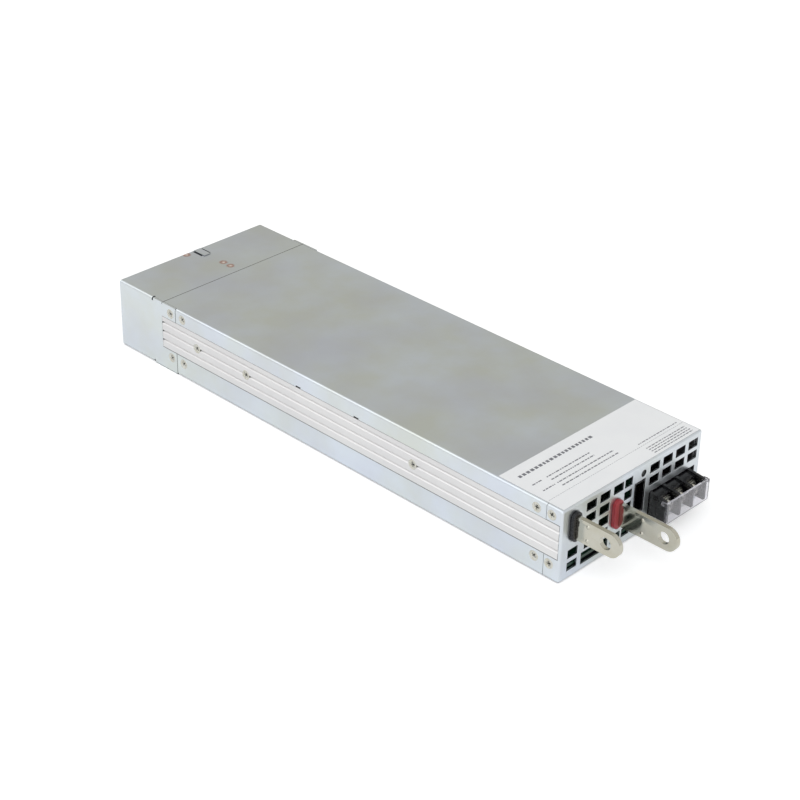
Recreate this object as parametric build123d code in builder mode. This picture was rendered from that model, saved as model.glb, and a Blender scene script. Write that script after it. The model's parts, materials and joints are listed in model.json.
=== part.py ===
"""Enclosed 1U power supply with side rails, rear fans, output bars and a terminal block.

Millimetres. +Y points to the fans, -Y to the terminals and +Z up. The origin is the centre of
the underside. Each section makes one or more pieces that are separate on the bench.
"""

import os
from math import cos, pi, sin, sqrt

from build123d import *

# Case
case_length = 325.8
case_width = 107.0
case_height = 41.0
sheet = 1.2
fold_radius = 1.5
seam_gap = 0.1

front_y = -case_length / 2
rear_y = case_length / 2
side_x = case_width / 2
inner_x = side_x - sheet
inner_top = case_height - sheet

# Side rails
band_bottom = 13.0
band_drop = 8.5
rail_wall = 2.8
rail_front_setback = 1.5
rail_rear_setback = 36.5
groove_rise = 0.45
groove_pitch = 5.4
groove_mouth = 1.5
groove_depth = 0.9

band_top = case_height - band_drop
groove_height_on_side = (band_bottom + band_top) / 2 + groove_rise
rail_inner_x = inner_x - rail_wall
rail_front_y = front_y + rail_front_setback
rail_rear_y = rear_y - rail_rear_setback

# Where the sheets meet
front_return = 9.8
front_edge_radius = 1.2
housing_top_depth = 36.8
housing_fold_length = 28.6
housing_tab_length = 11.3
relief_width = 1.2
relief_reach = 2.2

cover_front_y = front_y + front_return + seam_gap
cover_rear_y = rear_y - housing_top_depth - seam_gap
flange_rear_y = cover_rear_y - housing_tab_length
housing_fold_y = rear_y - housing_fold_length

# Edge notches in the cover flanges
notch_length = 3.6
notch_depth = 0.8
notch_spacing = 42.8
notch_centre_y = -5.0

# Countersunk screws
head_radius = 2.75
shank_radius = 1.5
head_depth = sheet
screw_length = 5.5
cross_arm = 2.9
cross_width = 0.7
cross_depth = 0.7
top_screw_drop = 4.7
low_screw_drop = 4.2
seam_screw_inset = 6.0
panel_screw_inset = 6.6
tab_screw_inset = 4.4
flange_screw_inset = 5.5
fan_screw_length = 5.0

# Front panel, laid out on a grid of vent columns
panel_margin = 3.0
panel_columns = 10
vent_web = 2.7
vent_row_web = 2.25
vent_rows = 5
vent_top_drop = 5.7
vent_bottom_rise = 7.1
wide_slot_bottom = 3.7
wide_slot_height = 6.7
wide_slot_left_reach = 1.9
wide_slot_right_reach = 0.7

column = (case_width - 2 * panel_margin) / panel_columns
vent_width = column - vent_web
vent_top_z = case_height - vent_top_drop
vent_pitch_z = (vent_top_z - vent_bottom_rise) / (vent_rows - 1)
vent_height = vent_pitch_z - vent_row_web

# Places on the panel in columns from its middle
vent_left_x = -3.163 * column
vent_right_x = 1.604 * column
vent_narrow_x = -0.4 * column
vent_narrow_web = 4.3
bar_positive_x = -1.119 * column
signal_left = 0.089 * column
block_left_x = 1.337 * column

# Output bars
bar_thickness = 2.5
bar_height = 12.6
bar_hole_radius = 3.3
bar_negative_inset = 9.35
bar_negative_drop = 11.8
bar_negative_reach = 28.2
bar_negative_hole_reach = 19.5
bar_negative_pip_reach = 9.0
bar_positive_rise = 0.8
bar_positive_reach = 36.8
bar_positive_hole_reach = 28.7
bar_positive_pip_reach = 16.0
bar_blade_start = 10.0
bar_blade_length = 34.0
bar_foot_height = 4.0
bar_foot_gap = 14.0
pip_radius = 1.2
pip_rise = 0.6
pip_spacing = 7.6

bar_negative_x = bar_negative_inset - side_x
bar_negative_z = case_height - bar_negative_drop
bar_positive_z = case_height / 2 + bar_positive_rise

# Insulating collars round the bars
collar_width = 6.4
collar_height = 16.4
collar_front = 2.0
collar_neck_step = 0.4
collar_fit = 0.05
collar_positive_offset = 1.15
collar_positive_rise = 0.2
bar_fit = 0.1
collar_edge = 0.5

# Input terminal block
pole_pitch = 10.1
poles = 3
barrier = 1.8
end_barrier = 1.7
block_bottom = 8.7
block_height = 12.75
barrier_front_height = 12.0
barrier_rear_height = 13.1
roof_front_height = 11.5
roof_rear_height = 12.2
block_reach = 10.4
block_face_reach = 4.7
block_inner_depth = 14.0
side_groove_width = 0.7
side_groove_depth = 0.3
window_gap = 0.4
window_right_gap = 4.0
contact_thickness = 0.8
contact_width = 7.0
contact_base_height = 0.6
contact_height = 10.2
clamp_thickness = 1.0
clamp_size = 6.8
clamp_corner = 1.0
terminal_screw_height = 6.5
terminal_head_radius = 2.8
terminal_head_height = 1.9
terminal_head_edge = 0.6
terminal_shank_radius = 1.9
terminal_shank_length = 7.5
thread_fit = 0.1

# Hinged terminal cover
lug_radius = 1.3
hinge_pin_radius = 0.6
hinge_pin_length = 1.4
hinge_fit = 0.06
ear_thickness = 0.9
ear_gap = 0.2
cover_gap = 0.4
cover_plate = 1.2
cover_rise = 1.0
cover_drop = 0.2

# Signal connector and indicator
signal_width = 8.2
signal_top_drop = 9.0
signal_height = 18.0
signal_depth = 13.0
signal_wall = 1.0
signal_pocket = 9.5
signal_columns = 2
signal_rows = 8
signal_pin = 0.6
signal_pin_length = 4.4
lamp_inset = 6.5
lamp_drop = 5.6
lamp_radius = 1.75
lamp_fit = 0.15
lamp_edge = 0.4
lamp_holder_depth = 9.0
lamp_holder_half = 2.4

signal_bottom = case_height - signal_top_drop - signal_height
lamp_x = signal_left + lamp_inset
lamp_z = case_height - lamp_drop

# Circuit boards
board_thickness = 1.6
board_underside = 5.0
board_top = board_underside + board_thickness
board_margin = 0.8
board_front_setback = 1.8
board_rear_setback = 50.9
control_length = 72.0
control_headroom = 2.2
film_thickness = 0.4
film_clearance = 0.3
stand_off_radius = 2.8
stand_off_inset = 5.0
stand_off_rows = 3
stand_off_front_inset = 50.9
stand_off_rear_inset = 80.9
board_shank_radius = 1.25
board_head_radius = 2.7
board_head_height = 1.8
board_screw_length = 4.5

board_rear_y = rear_y - board_rear_setback
control_height = inner_top - board_top - control_headroom
stand_off_front_y = front_y + stand_off_front_inset
stand_off_rear_y = rear_y - stand_off_rear_inset
stand_off_pitch = (stand_off_rear_y - stand_off_front_y) / (stand_off_rows - 1)
stand_off_centre_y = (stand_off_rear_y + stand_off_front_y) / 2

# Underside fixing nuts, M4
fixing_inset_x = 17.5
fixing_inset_y = 42.9
fixing_hole_radius = 2.0
fixing_nut_radius = 3.6
fixing_nut_height = 2.8

fixing_pitch_x = case_width - 2 * fixing_inset_x
fixing_pitch_y = case_length - 2 * fixing_inset_y

# Fans
fan_room = 0.3
fan_size = case_height - 2 * (sheet + fan_room)
fan_depth = 28.0
fan_corner = 2.5
fan_wall = 1.1
fan_bore = fan_size / 2 - fan_wall
fan_gap = 0.7
fan_hole_inset = 3.0
fan_hole_pitch = fan_size - 2 * fan_hole_inset
fan_centre_x = 3.0
fan_side_room = 3.3
fan_hub_radius = fan_size / 4
fan_hub_length = 17.0
fan_motor_length = 5.0
fan_shaft_radius = 1.5
fan_running_fit = 0.05
fan_blades = 7
fan_blade_chord = 13.0
fan_blade_thickness = 1.2
fan_root_pitch = 50.0
fan_tip_pitch = 32.0
blade_root = 1.0
strut_width = 2.4
strut_depth = 4.0
strut_turn = 20.0
fan_flange = 4.0
fan_waist_radius = fan_size / 2
fan_spacing = 2 * (inner_x - fan_centre_x - fan_side_room) - fan_size
guard_rings = 3
guard_land = 1.6
guard_hub_radius = 6.5
guard_spoke = 2.4

# Fan divider and its bridge in the housing top
divider_sheet = 1.2
divider_foot = (fan_spacing - fan_size) / 2
divider_depth = 30.0
bridge_slit = 1.2
bridge_span = 4.6
bridge_length = 7.5
bridge_inset = 0.9
bridge_rise = 0.4

# Rating label
label_thickness = 0.15
label_length = 40.6
label_margin = 1.6
label_front_inset = 0.9

# Power parts on the board
package_width = 15.8
package_thickness = 5.0
package_hole_inset = 5.7
nut_radius = 3.0
nut_thickness = 2.4
lead_width = 1.2
lead_thickness = 0.6
lead_pitch = 5.45
lead_height = 1.8
rail_screw_tip = 0.4
rail_screw_rear_inset = 65.5
rail_screw_pitch = 40.0
rail_screw_front_inset = 96.5

rail_screw_ys = (rear_y - rail_screw_rear_inset, rear_y - rail_screw_rear_inset - rail_screw_pitch,
                 front_y + rail_screw_front_inset)
package_top = groove_height_on_side + package_hole_inset
package_height = package_top - board_top - lead_height
package_x = rail_inner_x - package_thickness
nut_x = package_x - nut_thickness
tip_x = nut_x - rail_screw_tip

can_clearance = 0.6
capacitor_gap = 0.6
capacitor_radius = (tip_x - can_clearance - capacitor_gap) / 3
capacitor_length = 48.0
capacitor_setback = 4.0
capacitor_rear_y = board_rear_y - capacitor_setback
output_can_gap = 2.0
output_can_radius = (bar_positive_x - bar_negative_x - bar_thickness - 3 * output_can_gap) / 4
output_can_length = 25.0
output_can_pitch = 2 * output_can_radius + output_can_gap
output_can_x = (bar_positive_x + bar_negative_x) / 2
output_can_inset = 34.9
output_can_y = front_y + output_can_inset
crimp_height = 5.0
crimp_width = 1.4
crimp_depth = 0.7

choke_outer = 13.5
choke_inner = 6.0
choke_height = 17.0
choke_gap = 7.0
choke_rail_gap = 3.0
choke_front_inset = 34.9
choke_front_y = front_y + choke_front_inset
boost_outer = 19.5
boost_inner = 8.5
boost_height = 24.0
boost_gap = 5.0
boost_front_inset = 124.9
boost_front_y = front_y + boost_front_inset
ring_edge = 2.5

choke_x = rail_inner_x - choke_rail_gap - choke_outer
choke_pitch = 2 * choke_outer + choke_gap
boost_pitch = 2 * boost_outer + boost_gap

fin_count = 6
fin_thickness = 1.5
fin_pitch = 5.0
sink_length = 40.0
sink_height = 24.0
sink_rail_gap = 24.0
sink_x = sink_rail_gap - rail_inner_x
sink_inset = 80.9
sink_y = front_y + sink_inset

core_length = 41.0
core_width = 30.0
core_headroom = 3.2
core_limb = 8.0
core_gap = 6.0
coil_corner = 3.5
core_height = inner_top - board_top - core_headroom
core_window = (core_length - 3 * core_limb) / 2
coil_width = core_width + 2 * core_window

# Transformers and boost chokes share the width between the rails
spare_width = 2 * rail_inner_x - coil_width - 2 * boost_outer
row_edge_share = 0.45
row_edge_gap = row_edge_share * spare_width
transformer_x = row_edge_gap + coil_width / 2 - rail_inner_x
transformer_pitch = core_length + core_gap
transformer_middle_y = (sink_y + sink_length / 2 + capacitor_rear_y - capacitor_length) / 2
boost_x = rail_inner_x - row_edge_gap - boost_outer

# Small input parts
fuse_x = (signal_left + choke_x - choke_outer) / 2
fuse_inset = 44.9
fuse_y = front_y + fuse_inset
fuse_radius = 3.2
fuse_length = 32.0
fuse_tube_step = 0.4
fuse_cap_share = 0.2
line_cap_offset = 7.0
line_cap_x = choke_x - line_cap_offset
line_cap_inset = 92.9
line_cap_y = front_y + line_cap_inset
line_cap_length = 26.0
line_cap_width = 11.0
line_cap_height = 18.0
line_cap_corner = 1.0

os.makedirs("parts", exist_ok=True)


def section_plane(y):
    """Plane across the case at y, with X to the right and Z up. It extrudes to the front."""
    return Plane.XZ.offset(-y)


def finish(piece, name):
    """Label a finished piece and write it."""
    piece.part.label = name
    export_step(piece.part, f"parts/{name}.step")


def slab(left, right, near, far, bottom, top, mode=Mode.ADD):
    """Box between six planes, added to the part in hand or cut from it."""
    with Locations(((left + right) / 2, (near + far) / 2, (bottom + top) / 2)):
        Box(right - left, far - near, top - bottom, mode=mode)


def case_tube(y_near, y_far):
    """Closed sheet tube of the whole cross-section between two stations."""
    with BuildPart() as tube:
        with BuildSketch(section_plane(y_far)):
            with Locations((0, case_height / 2)):
                RectangleRounded(case_width, case_height, fold_radius)
                RectangleRounded(case_width - 2 * sheet, case_height - 2 * sheet,
                                 fold_radius - sheet, mode=Mode.SUBTRACT)
        extrude(amount=y_far - y_near)
    return tube.part


# Stations of the countersunk screws on one side, as (y, z)
low_z = band_bottom - low_screw_drop
high_z = case_height - top_screw_drop
housing_screw_y = flange_rear_y + seam_gap + tab_screw_inset
cover_screw_rear_y = flange_rear_y - flange_screw_inset
cover_screw_front_y = cover_front_y + seam_screw_inset
panel_screw_y = front_y + panel_screw_inset
cover_stations = [(cover_screw_rear_y, high_z), (cover_screw_front_y, high_z)]
chassis_stations = [(cover_screw_rear_y, low_z), (cover_screw_front_y, low_z)]
housing_stations = [(housing_screw_y, low_z), (housing_screw_y, high_z)]
panel_stations = [(panel_screw_y, low_z), (panel_screw_y, high_z)]
sheet_stations = cover_stations + chassis_stations + housing_stations + panel_stations
rail_stations = [(y, groove_height_on_side) for y in rail_screw_ys]


def side_plane(side, y, z):
    """Plane on the case side, facing outward."""
    return Plane(origin=(side * side_x, y, z), x_dir=(0, 1, 0), z_dir=(side, 0, 0))


def countersink(length, mode=Mode.SUBTRACT):
    """Head cone and shank at the current locations, flush with their plane."""
    Cone(shank_radius, head_radius, head_depth,
         align=(Align.CENTER, Align.CENTER, Align.MAX), mode=mode)
    Cylinder(shank_radius, length, align=(Align.CENTER, Align.CENTER, Align.MAX), mode=mode)


def cross_slot():
    """Cross recess in the heads at the current locations."""
    Box(cross_arm, cross_width, 2 * cross_depth, mode=Mode.SUBTRACT)
    Box(cross_width, cross_arm, 2 * cross_depth, mode=Mode.SUBTRACT)


def side_locations(stations, sides=(-1, 1)):
    """Planes at the stations of one or both sides, facing outward."""
    return Locations(*[side_plane(side, y, z) for side in sides for y, z in stations])


def make_top_cover():
    """Folded lid whose flanges reach down to the rails."""
    with BuildPart() as top_cover:
        add(case_tube(cover_front_y, flange_rear_y))
        slab(-case_width, case_width, cover_front_y, flange_rear_y, -case_height, band_top,
             mode=Mode.SUBTRACT)
        tongue = inner_x - seam_gap
        slab(-tongue, tongue, flange_rear_y, cover_rear_y, inner_top, case_height)
        with Locations((0, notch_centre_y, band_top)):
            with GridLocations(2 * side_x, notch_spacing, 2, 2):
                Box(3 * sheet, notch_length, 2 * notch_depth, mode=Mode.SUBTRACT)
        with side_locations(cover_stations):
            countersink(2 * sheet)
    finish(top_cover, "top_cover")


def make_bottom_chassis():
    """Folded floor whose flanges reach up to the rails."""
    with BuildPart() as bottom_chassis:
        add(case_tube(cover_front_y, flange_rear_y))
        slab(-case_width, case_width, cover_front_y, flange_rear_y, band_bottom, 2 * case_height,
             mode=Mode.SUBTRACT)
        tongue = inner_x - seam_gap
        slab(-tongue, tongue, flange_rear_y, cover_rear_y, 0, sheet)
        with side_locations(chassis_stations):
            countersink(2 * sheet)
        with GridLocations(fixing_pitch_x, fixing_pitch_y, 2, 2):
            Cylinder(fixing_hole_radius, 4 * sheet, mode=Mode.SUBTRACT)
    finish(bottom_chassis, "bottom_chassis")


def make_side_rails():
    """Grooved extrusions: a web behind the sheet flanges and a band flush with them."""
    corner = fold_radius - sheet
    with BuildPart() as right_rail:
        with BuildSketch(section_plane(rail_rear_y)):
            with Locations(((rail_inner_x + inner_x) / 2, case_height / 2)):
                Rectangle(rail_wall, case_height - 2 * (sheet + corner))
            with Locations(((inner_x + side_x) / 2, (band_bottom + band_top) / 2)):
                Rectangle(sheet, band_top - band_bottom - 2 * seam_gap)
            for step in (-1, 0, 1):
                z = groove_height_on_side + step * groove_pitch
                with BuildLine():
                    Polyline((side_x, z + groove_mouth / 2),
                             (side_x - groove_depth, z + groove_mouth / 2),
                             (side_x - groove_depth, z),
                             (side_x, z - groove_mouth / 2), close=True)
                make_face(mode=Mode.SUBTRACT)
        extrude(amount=rail_rear_y - rail_front_y)
        with side_locations(rail_stations, sides=(1,)):
            countersink(2 * (sheet + rail_wall))
        with side_locations(sheet_stations, sides=(1,)):
            Cylinder(shank_radius, 4 * (sheet + rail_wall), mode=Mode.SUBTRACT)
    finish(right_rail, "right_rail")
    with BuildPart() as left_rail:
        add(mirror(right_rail.part, about=Plane.YZ))
    finish(left_rail, "left_rail")


fan_xs = (fan_centre_x - fan_spacing / 2, fan_centre_x + fan_spacing / 2)
fan_z = case_height / 2
fan_rear_y = rear_y - sheet
fan_front_y = fan_rear_y - fan_depth


def fan_screw_locations():
    """Planes on the rear face at the four screws of each fan, facing outward."""
    half = fan_hole_pitch / 2
    return Locations(*[Plane(origin=(x + i * half, rear_y, fan_z + j * half), x_dir=(1, 0, 0),
                             z_dir=(0, 1, 0)) for x in fan_xs for i in (-1, 1) for j in (-1, 1)])


def guard_openings():
    """Sketch of the rings of slots in front of each fan, parted by four spokes."""
    slot = (fan_bore - guard_hub_radius - (guard_rings - 1) * guard_land) / guard_rings
    with BuildSketch(section_plane(rear_y)) as openings:
        with Locations(*[(x, fan_z) for x in fan_xs]):
            for ring in range(guard_rings, 0, -1):
                outer = guard_hub_radius + ring * (slot + guard_land) - guard_land
                Circle(outer)
                Circle(outer - slot, mode=Mode.SUBTRACT)
            for turn in (45, 135):
                Rectangle(3 * fan_bore, guard_spoke, rotation=turn, mode=Mode.SUBTRACT)
    return openings.sketch


def make_fan_housing():
    """Rear sleeve with the guard rings and two tabs on each side."""
    with BuildPart() as fan_housing:
        add(case_tube(housing_fold_y, rear_y))
        slab(-inner_x, inner_x, fan_rear_y, rear_y, sheet, inner_top)
        # Side tabs reach forward over the rails, which show through a C-shaped cut-out
        for side in (-1, 1):
            outer = max(side * side_x, side * inner_x)
            near = flange_rear_y + seam_gap
            slab(outer - sheet, outer, near, housing_fold_y, 0, case_height)
            slab(outer - 2 * sheet, outer + sheet, near - sheet, rail_rear_y + seam_gap,
                 band_bottom, band_top, mode=Mode.SUBTRACT)
        # Top and bottom panels reach forward to the cover seam, free of the side tabs
        panel_x = inner_x - seam_gap
        for low, high in ((0, sheet), (inner_top, case_height)):
            slab(-panel_x, panel_x, rear_y - housing_top_depth, housing_fold_y, low, high)
            for side in (-1, 1):
                with Locations((side * side_x, housing_fold_y, (low + high) / 2)):
                    Box(2 * relief_reach, relief_width, 2 * sheet, mode=Mode.SUBTRACT)
        with side_locations(housing_stations):
            countersink(2 * sheet)
        extrude(guard_openings(), amount=2 * sheet, mode=Mode.SUBTRACT)
        with fan_screw_locations():
            countersink(2 * sheet)
        # Lanced bridge in the top panel over the divider
        far = rear_y - bridge_inset
        half = bridge_span / 2
        slab(fan_centre_x - half - bridge_slit, fan_centre_x + half + bridge_slit,
             far - bridge_length, far, inner_top - sheet / 2, case_height + sheet, mode=Mode.SUBTRACT)
        slab(fan_centre_x - half, fan_centre_x + half, far - bridge_length - sheet, far + sheet / 2,
             inner_top + bridge_rise, case_height + bridge_rise)
    finish(fan_housing, "fan_housing")


def make_fan_divider():
    """Bracket between the fans with a foot under the top panel."""
    far = fan_rear_y
    near = far - divider_depth
    right = fan_centre_x + divider_sheet / 2
    with BuildPart() as divider:
        slab(right - divider_sheet, right, near, far, sheet, inner_top)
        slab(right - divider_foot, right, near, far - bridge_length - bridge_inset,
             inner_top - divider_sheet, inner_top)
        slab(right - divider_foot, right, near, far, sheet, sheet + divider_sheet)
    finish(divider, "fan_divider")


def make_fan(side_name, x):
    """One axial fan: a frame with struts and motor seat, and a rotor on its shaft."""
    motor_plane = Plane(origin=(x, fan_front_y, fan_z), x_dir=(1, 0, 0), z_dir=(0, 1, 0))
    with BuildPart() as frame:
        with BuildSketch(section_plane(fan_rear_y)):
            with Locations((x, fan_z)):
                RectangleRounded(fan_size, fan_size, fan_corner)
                Circle(fan_bore, mode=Mode.SUBTRACT)
                with GridLocations(fan_hole_pitch, fan_hole_pitch, 2, 2):
                    Circle(shank_radius, mode=Mode.SUBTRACT)
        extrude(amount=fan_depth)
        # Waist between the two mounting flanges
        with BuildSketch(section_plane(fan_rear_y - fan_flange)):
            with Locations((x, fan_z)):
                Rectangle(2 * fan_size, 2 * fan_size)
                Circle(fan_waist_radius, mode=Mode.SUBTRACT)
        extrude(amount=fan_depth - 2 * fan_flange, mode=Mode.SUBTRACT)
        with Locations(motor_plane):
            Cylinder(fan_hub_radius, fan_motor_length, align=(Align.CENTER, Align.CENTER, Align.MIN))
        with BuildSketch(motor_plane):
            for turn in (strut_turn, strut_turn + 90):
                Rectangle(2 * fan_bore + fan_wall, strut_width, rotation=turn)
        extrude(amount=strut_depth)
        with Locations(motor_plane):
            Cylinder(fan_shaft_radius + fan_running_fit, 3 * fan_motor_length, mode=Mode.SUBTRACT)
    finish(frame, f"{side_name}_fan_frame")

    hub_start = fan_motor_length + fan_gap
    tip_radius = fan_bore - fan_gap
    with BuildPart(motor_plane) as rotor:
        with Locations((0, 0, hub_start)):
            Cylinder(fan_hub_radius, fan_hub_length, align=(Align.CENTER, Align.CENTER, Align.MIN))
        fillet(rotor.edges().group_by(Axis.Y)[-1], fan_gap)
        Cylinder(fan_shaft_radius, hub_start + blade_root,
                 align=(Align.CENTER, Align.CENTER, Align.MIN))
        middle = hub_start + fan_hub_length / 2
        for index in range(fan_blades):
            angle = 2 * pi * index / fan_blades
            outward = (cos(angle), 0, sin(angle))
            for radius, pitch in ((fan_hub_radius - blade_root, fan_root_pitch),
                                  (tip_radius, fan_tip_pitch)):
                centre = (x + radius * outward[0], fan_front_y + middle, fan_z + radius * outward[2])
                with BuildSketch(Plane(origin=centre, x_dir=(0, 1, 0), z_dir=outward)):
                    Rectangle(fan_blade_chord, fan_blade_thickness, rotation=pitch)
            loft()
        Cylinder(tip_radius, 2 * fan_depth, mode=Mode.INTERSECT)
    finish(rotor, f"{side_name}_fan_rotor")


def make_front_panel():
    """Drawn front with the vent field, its sides flush with the sheets."""
    with BuildPart() as panel:
        with BuildSketch(section_plane(front_y + front_return)):
            with Locations((0, case_height / 2)):
                RectangleRounded(case_width, case_height, fold_radius)
        extrude(amount=front_return)
        fillet(panel.edges().group_by(Axis.Y)[0], front_edge_radius)
        with BuildSketch(section_plane(front_y + front_return)):
            with Locations((0, case_height / 2)):
                RectangleRounded(case_width - 2 * sheet, case_height - 2 * sheet, fold_radius - sheet)
        extrude(amount=front_return - sheet, mode=Mode.SUBTRACT)
        # C-shaped cut-outs round the rail bands
        slab(-case_width, case_width, rail_front_y - seam_gap, front_y + 2 * front_return,
             band_bottom, band_top, mode=Mode.SUBTRACT)
        with side_locations(panel_stations):
            countersink(2 * sheet)
        with BuildSketch(section_plane(front_y + 2 * sheet)):
            vent_openings()
            connection_openings()
        extrude(amount=3 * sheet, mode=Mode.SUBTRACT)
    finish(panel, "front_panel")


def vent_openings():
    """Rectangular vents on one grid, left out where something passes the panel."""
    rows_z = [vent_top_z - row * vent_pitch_z for row in range(vent_rows)]
    full_rows = [(vent_left_x, 0, 4), (vent_left_x + column, 0, 4),
                 (vent_left_x + 2 * column, 0, 1), (vent_left_x + 2 * column, 4, 5),
                 (bar_negative_x, 3, 5)]
    full_rows += [(vent_right_x + step * column, 0, 2) for step in range(4)]
    for x, first, last in full_rows:
        with Locations(*[(x, z) for z in rows_z[first:last]]):
            Rectangle(vent_width, vent_height)
    with Locations(*[(vent_narrow_x, z) for z in rows_z]):
        Rectangle(column - vent_narrow_web, vent_height)
    wide_left = vent_left_x - vent_width / 2 - wide_slot_left_reach
    wide_right = vent_left_x + column + vent_width / 2 + wide_slot_right_reach
    with Locations(((wide_left + wide_right) / 2, wide_slot_bottom + wide_slot_height / 2)):
        Rectangle(wide_right - wide_left, wide_slot_height)


block_width = poles * (pole_pitch - barrier) + (poles - 1) * barrier + 2 * end_barrier
block_right_x = block_left_x + block_width
block_top = block_bottom + block_height
first_pole_x = block_left_x + end_barrier + (pole_pitch - barrier) / 2
pole_xs = [first_pole_x + pole * pole_pitch for pole in range(poles)]
terminal_screw_z = block_bottom + terminal_screw_height
face_y = front_y - block_face_reach
hinge_y = front_y - block_reach + lug_radius
barrier_slope = (barrier_rear_height - barrier_front_height) / block_reach
hinge_z = (block_bottom + barrier_front_height + lug_radius * barrier_slope
           - lug_radius * sqrt(1 + barrier_slope ** 2))
collar_places = {
    "negative": (bar_negative_x, bar_negative_z),
    "positive": (bar_positive_x - collar_positive_offset, bar_positive_z + collar_positive_rise),
}


def connection_openings():
    """Openings for the collars, the terminal block, the signal connector and the lamp."""
    for x, z in collar_places.values():
        with Locations((x, z)):
            neck_step = collar_neck_step - collar_fit
            SlotOverall(collar_height - 2 * neck_step, collar_width - 2 * neck_step, rotation=90)
    window_left_x = block_left_x - window_gap
    window_right_x = block_right_x + window_right_gap
    with Locations(((window_left_x + window_right_x) / 2, (block_bottom + block_top) / 2)):
        Rectangle(window_right_x - window_left_x, block_height + 2 * window_gap)
    with Locations((signal_left + signal_width / 2, signal_bottom + signal_height / 2)):
        Rectangle(signal_width + 2 * lamp_fit, signal_height + 2 * lamp_fit)
    with Locations((lamp_x, lamp_z)):
        Circle(lamp_radius + lamp_fit)


def make_collar(name, bar_x, bar_z):
    """Insulating collar: a rounded flange outside the panel and a neck through it."""
    x, z = collar_places[name]
    with BuildPart() as collar:
        with BuildSketch(section_plane(front_y)):
            with Locations((x, z)):
                SlotOverall(collar_height, collar_width, rotation=90)
        extrude(amount=collar_front)
        fillet(collar.edges().group_by(Axis.Y)[0], collar_edge)
        with BuildSketch(section_plane(front_y + 2 * sheet)):
            with Locations((x, z)):
                SlotOverall(collar_height - 2 * collar_neck_step, collar_width - 2 * collar_neck_step,
                            rotation=90)
        extrude(amount=2 * sheet)
        with BuildSketch(section_plane(front_y + 3 * sheet)):
            with Locations((bar_x, bar_z)):
                Rectangle(bar_thickness + 2 * bar_fit, bar_height + 2 * bar_fit)
        extrude(amount=4 * sheet + collar_front, mode=Mode.SUBTRACT)
    finish(collar, f"{name}_collar")


def make_bus_bar(name, x, z, reach, hole_reach, pip_reach):
    """Flat bar on edge: a full-round tip outside, and a blade with feet on the board inside."""
    near = front_y + bar_blade_start
    tip_centre = front_y - reach + bar_height / 2
    with BuildPart() as bar:
        with BuildSketch(Plane.YZ.offset(x - bar_thickness / 2)):
            with Locations(((tip_centre + near) / 2, z)):
                Rectangle(near - tip_centre + 1, bar_height)
            with Locations((tip_centre, z)):
                Circle(bar_height / 2)
            top = z + bar_height / 2
            with Locations((near + bar_blade_length / 2, (board_top + top) / 2)):
                Rectangle(bar_blade_length, top - board_top)
            with Locations((near + bar_blade_length / 2, board_top)):
                Rectangle(bar_foot_gap, 2 * bar_foot_height, mode=Mode.SUBTRACT)
            with Locations((front_y - hole_reach, z)):
                Circle(bar_hole_radius, mode=Mode.SUBTRACT)
        extrude(amount=bar_thickness)
        depth = pip_radius - pip_rise
        with Locations((x - bar_thickness / 2 + depth, front_y - pip_reach, z)):
            with Locations((0, 0, pip_spacing / 2), (0, 0, -pip_spacing / 2)):
                Sphere(pip_radius)
    finish(bar, f"{name}_busbar")


def across_plane(x, y, z):
    """Plane at a point, facing to the right."""
    return Plane(origin=(x, y, z), z_dir=(1, 0, 0))


def forward_hole(x, y, z, depth):
    """Clearance hole of a terminal screw, drilled inward from a point."""
    with Locations(Plane(origin=(x, y, z), z_dir=(0, 1, 0))):
        Cylinder(terminal_shank_radius + thread_fit, 2 * depth, mode=Mode.SUBTRACT)


def body_outline(x):
    """Body behind the contacts, whose roof falls to the front."""
    with BuildSketch(Plane.YZ.offset(x)) as outline:
        with BuildLine():
            Polyline((front_y + 2 * sheet, block_bottom),
                     (face_y, block_bottom),
                     (face_y, block_bottom + roof_front_height),
                     (front_y, block_bottom + roof_rear_height),
                     (front_y + 2 * sheet, block_bottom + roof_rear_height), close=True)
        make_face()
    return outline.sketch


def barrier_outline(x):
    """Barrier whose top falls to the front and ends in the round of the hinge lug."""
    with BuildSketch(Plane.YZ.offset(x)) as outline:
        with BuildLine():
            Polyline((front_y + 2 * sheet, block_bottom),
                     (front_y - block_reach, block_bottom),
                     (front_y - block_reach, block_bottom + barrier_front_height),
                     (front_y, block_bottom + barrier_rear_height),
                     (front_y + 2 * sheet, block_bottom + barrier_rear_height), close=True)
        make_face()
        front_edge = outline.vertices().group_by(Axis.X)[0]
        fillet(front_edge.sort_by(Axis.Y)[-1], lug_radius)
    return outline.sketch


def make_terminal_block():
    """Moulded block: a body with sloping roofs between barriers, open in front and below."""
    inner_y = front_y + block_inner_depth
    ends = [(block_left_x, block_left_x + end_barrier), (block_right_x - end_barrier, block_right_x)]
    middles = [(x + (pole_pitch - barrier) / 2, x + (pole_pitch + barrier) / 2)
               for x in pole_xs[:-1]]
    with BuildPart() as block:
        extrude(body_outline(block_left_x), amount=block_width)
        slab(block_left_x, block_right_x, front_y + 2 * sheet, inner_y, board_top, block_top)
        for left, right in ends + middles:
            extrude(barrier_outline(left), amount=right - left)
        for x in (block_left_x, block_right_x):
            with Locations((x, face_y, block_bottom)):
                Box(2 * side_groove_depth, side_groove_width, 4 * block_height,
                    mode=Mode.SUBTRACT)
            with Locations(across_plane(x, hinge_y, hinge_z)):
                Cylinder(hinge_pin_radius + hinge_fit, 2 * end_barrier, mode=Mode.SUBTRACT)
        for x in pole_xs:
            forward_hole(x, face_y, terminal_screw_z, terminal_shank_length)
    finish(block, "terminal_block")


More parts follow.
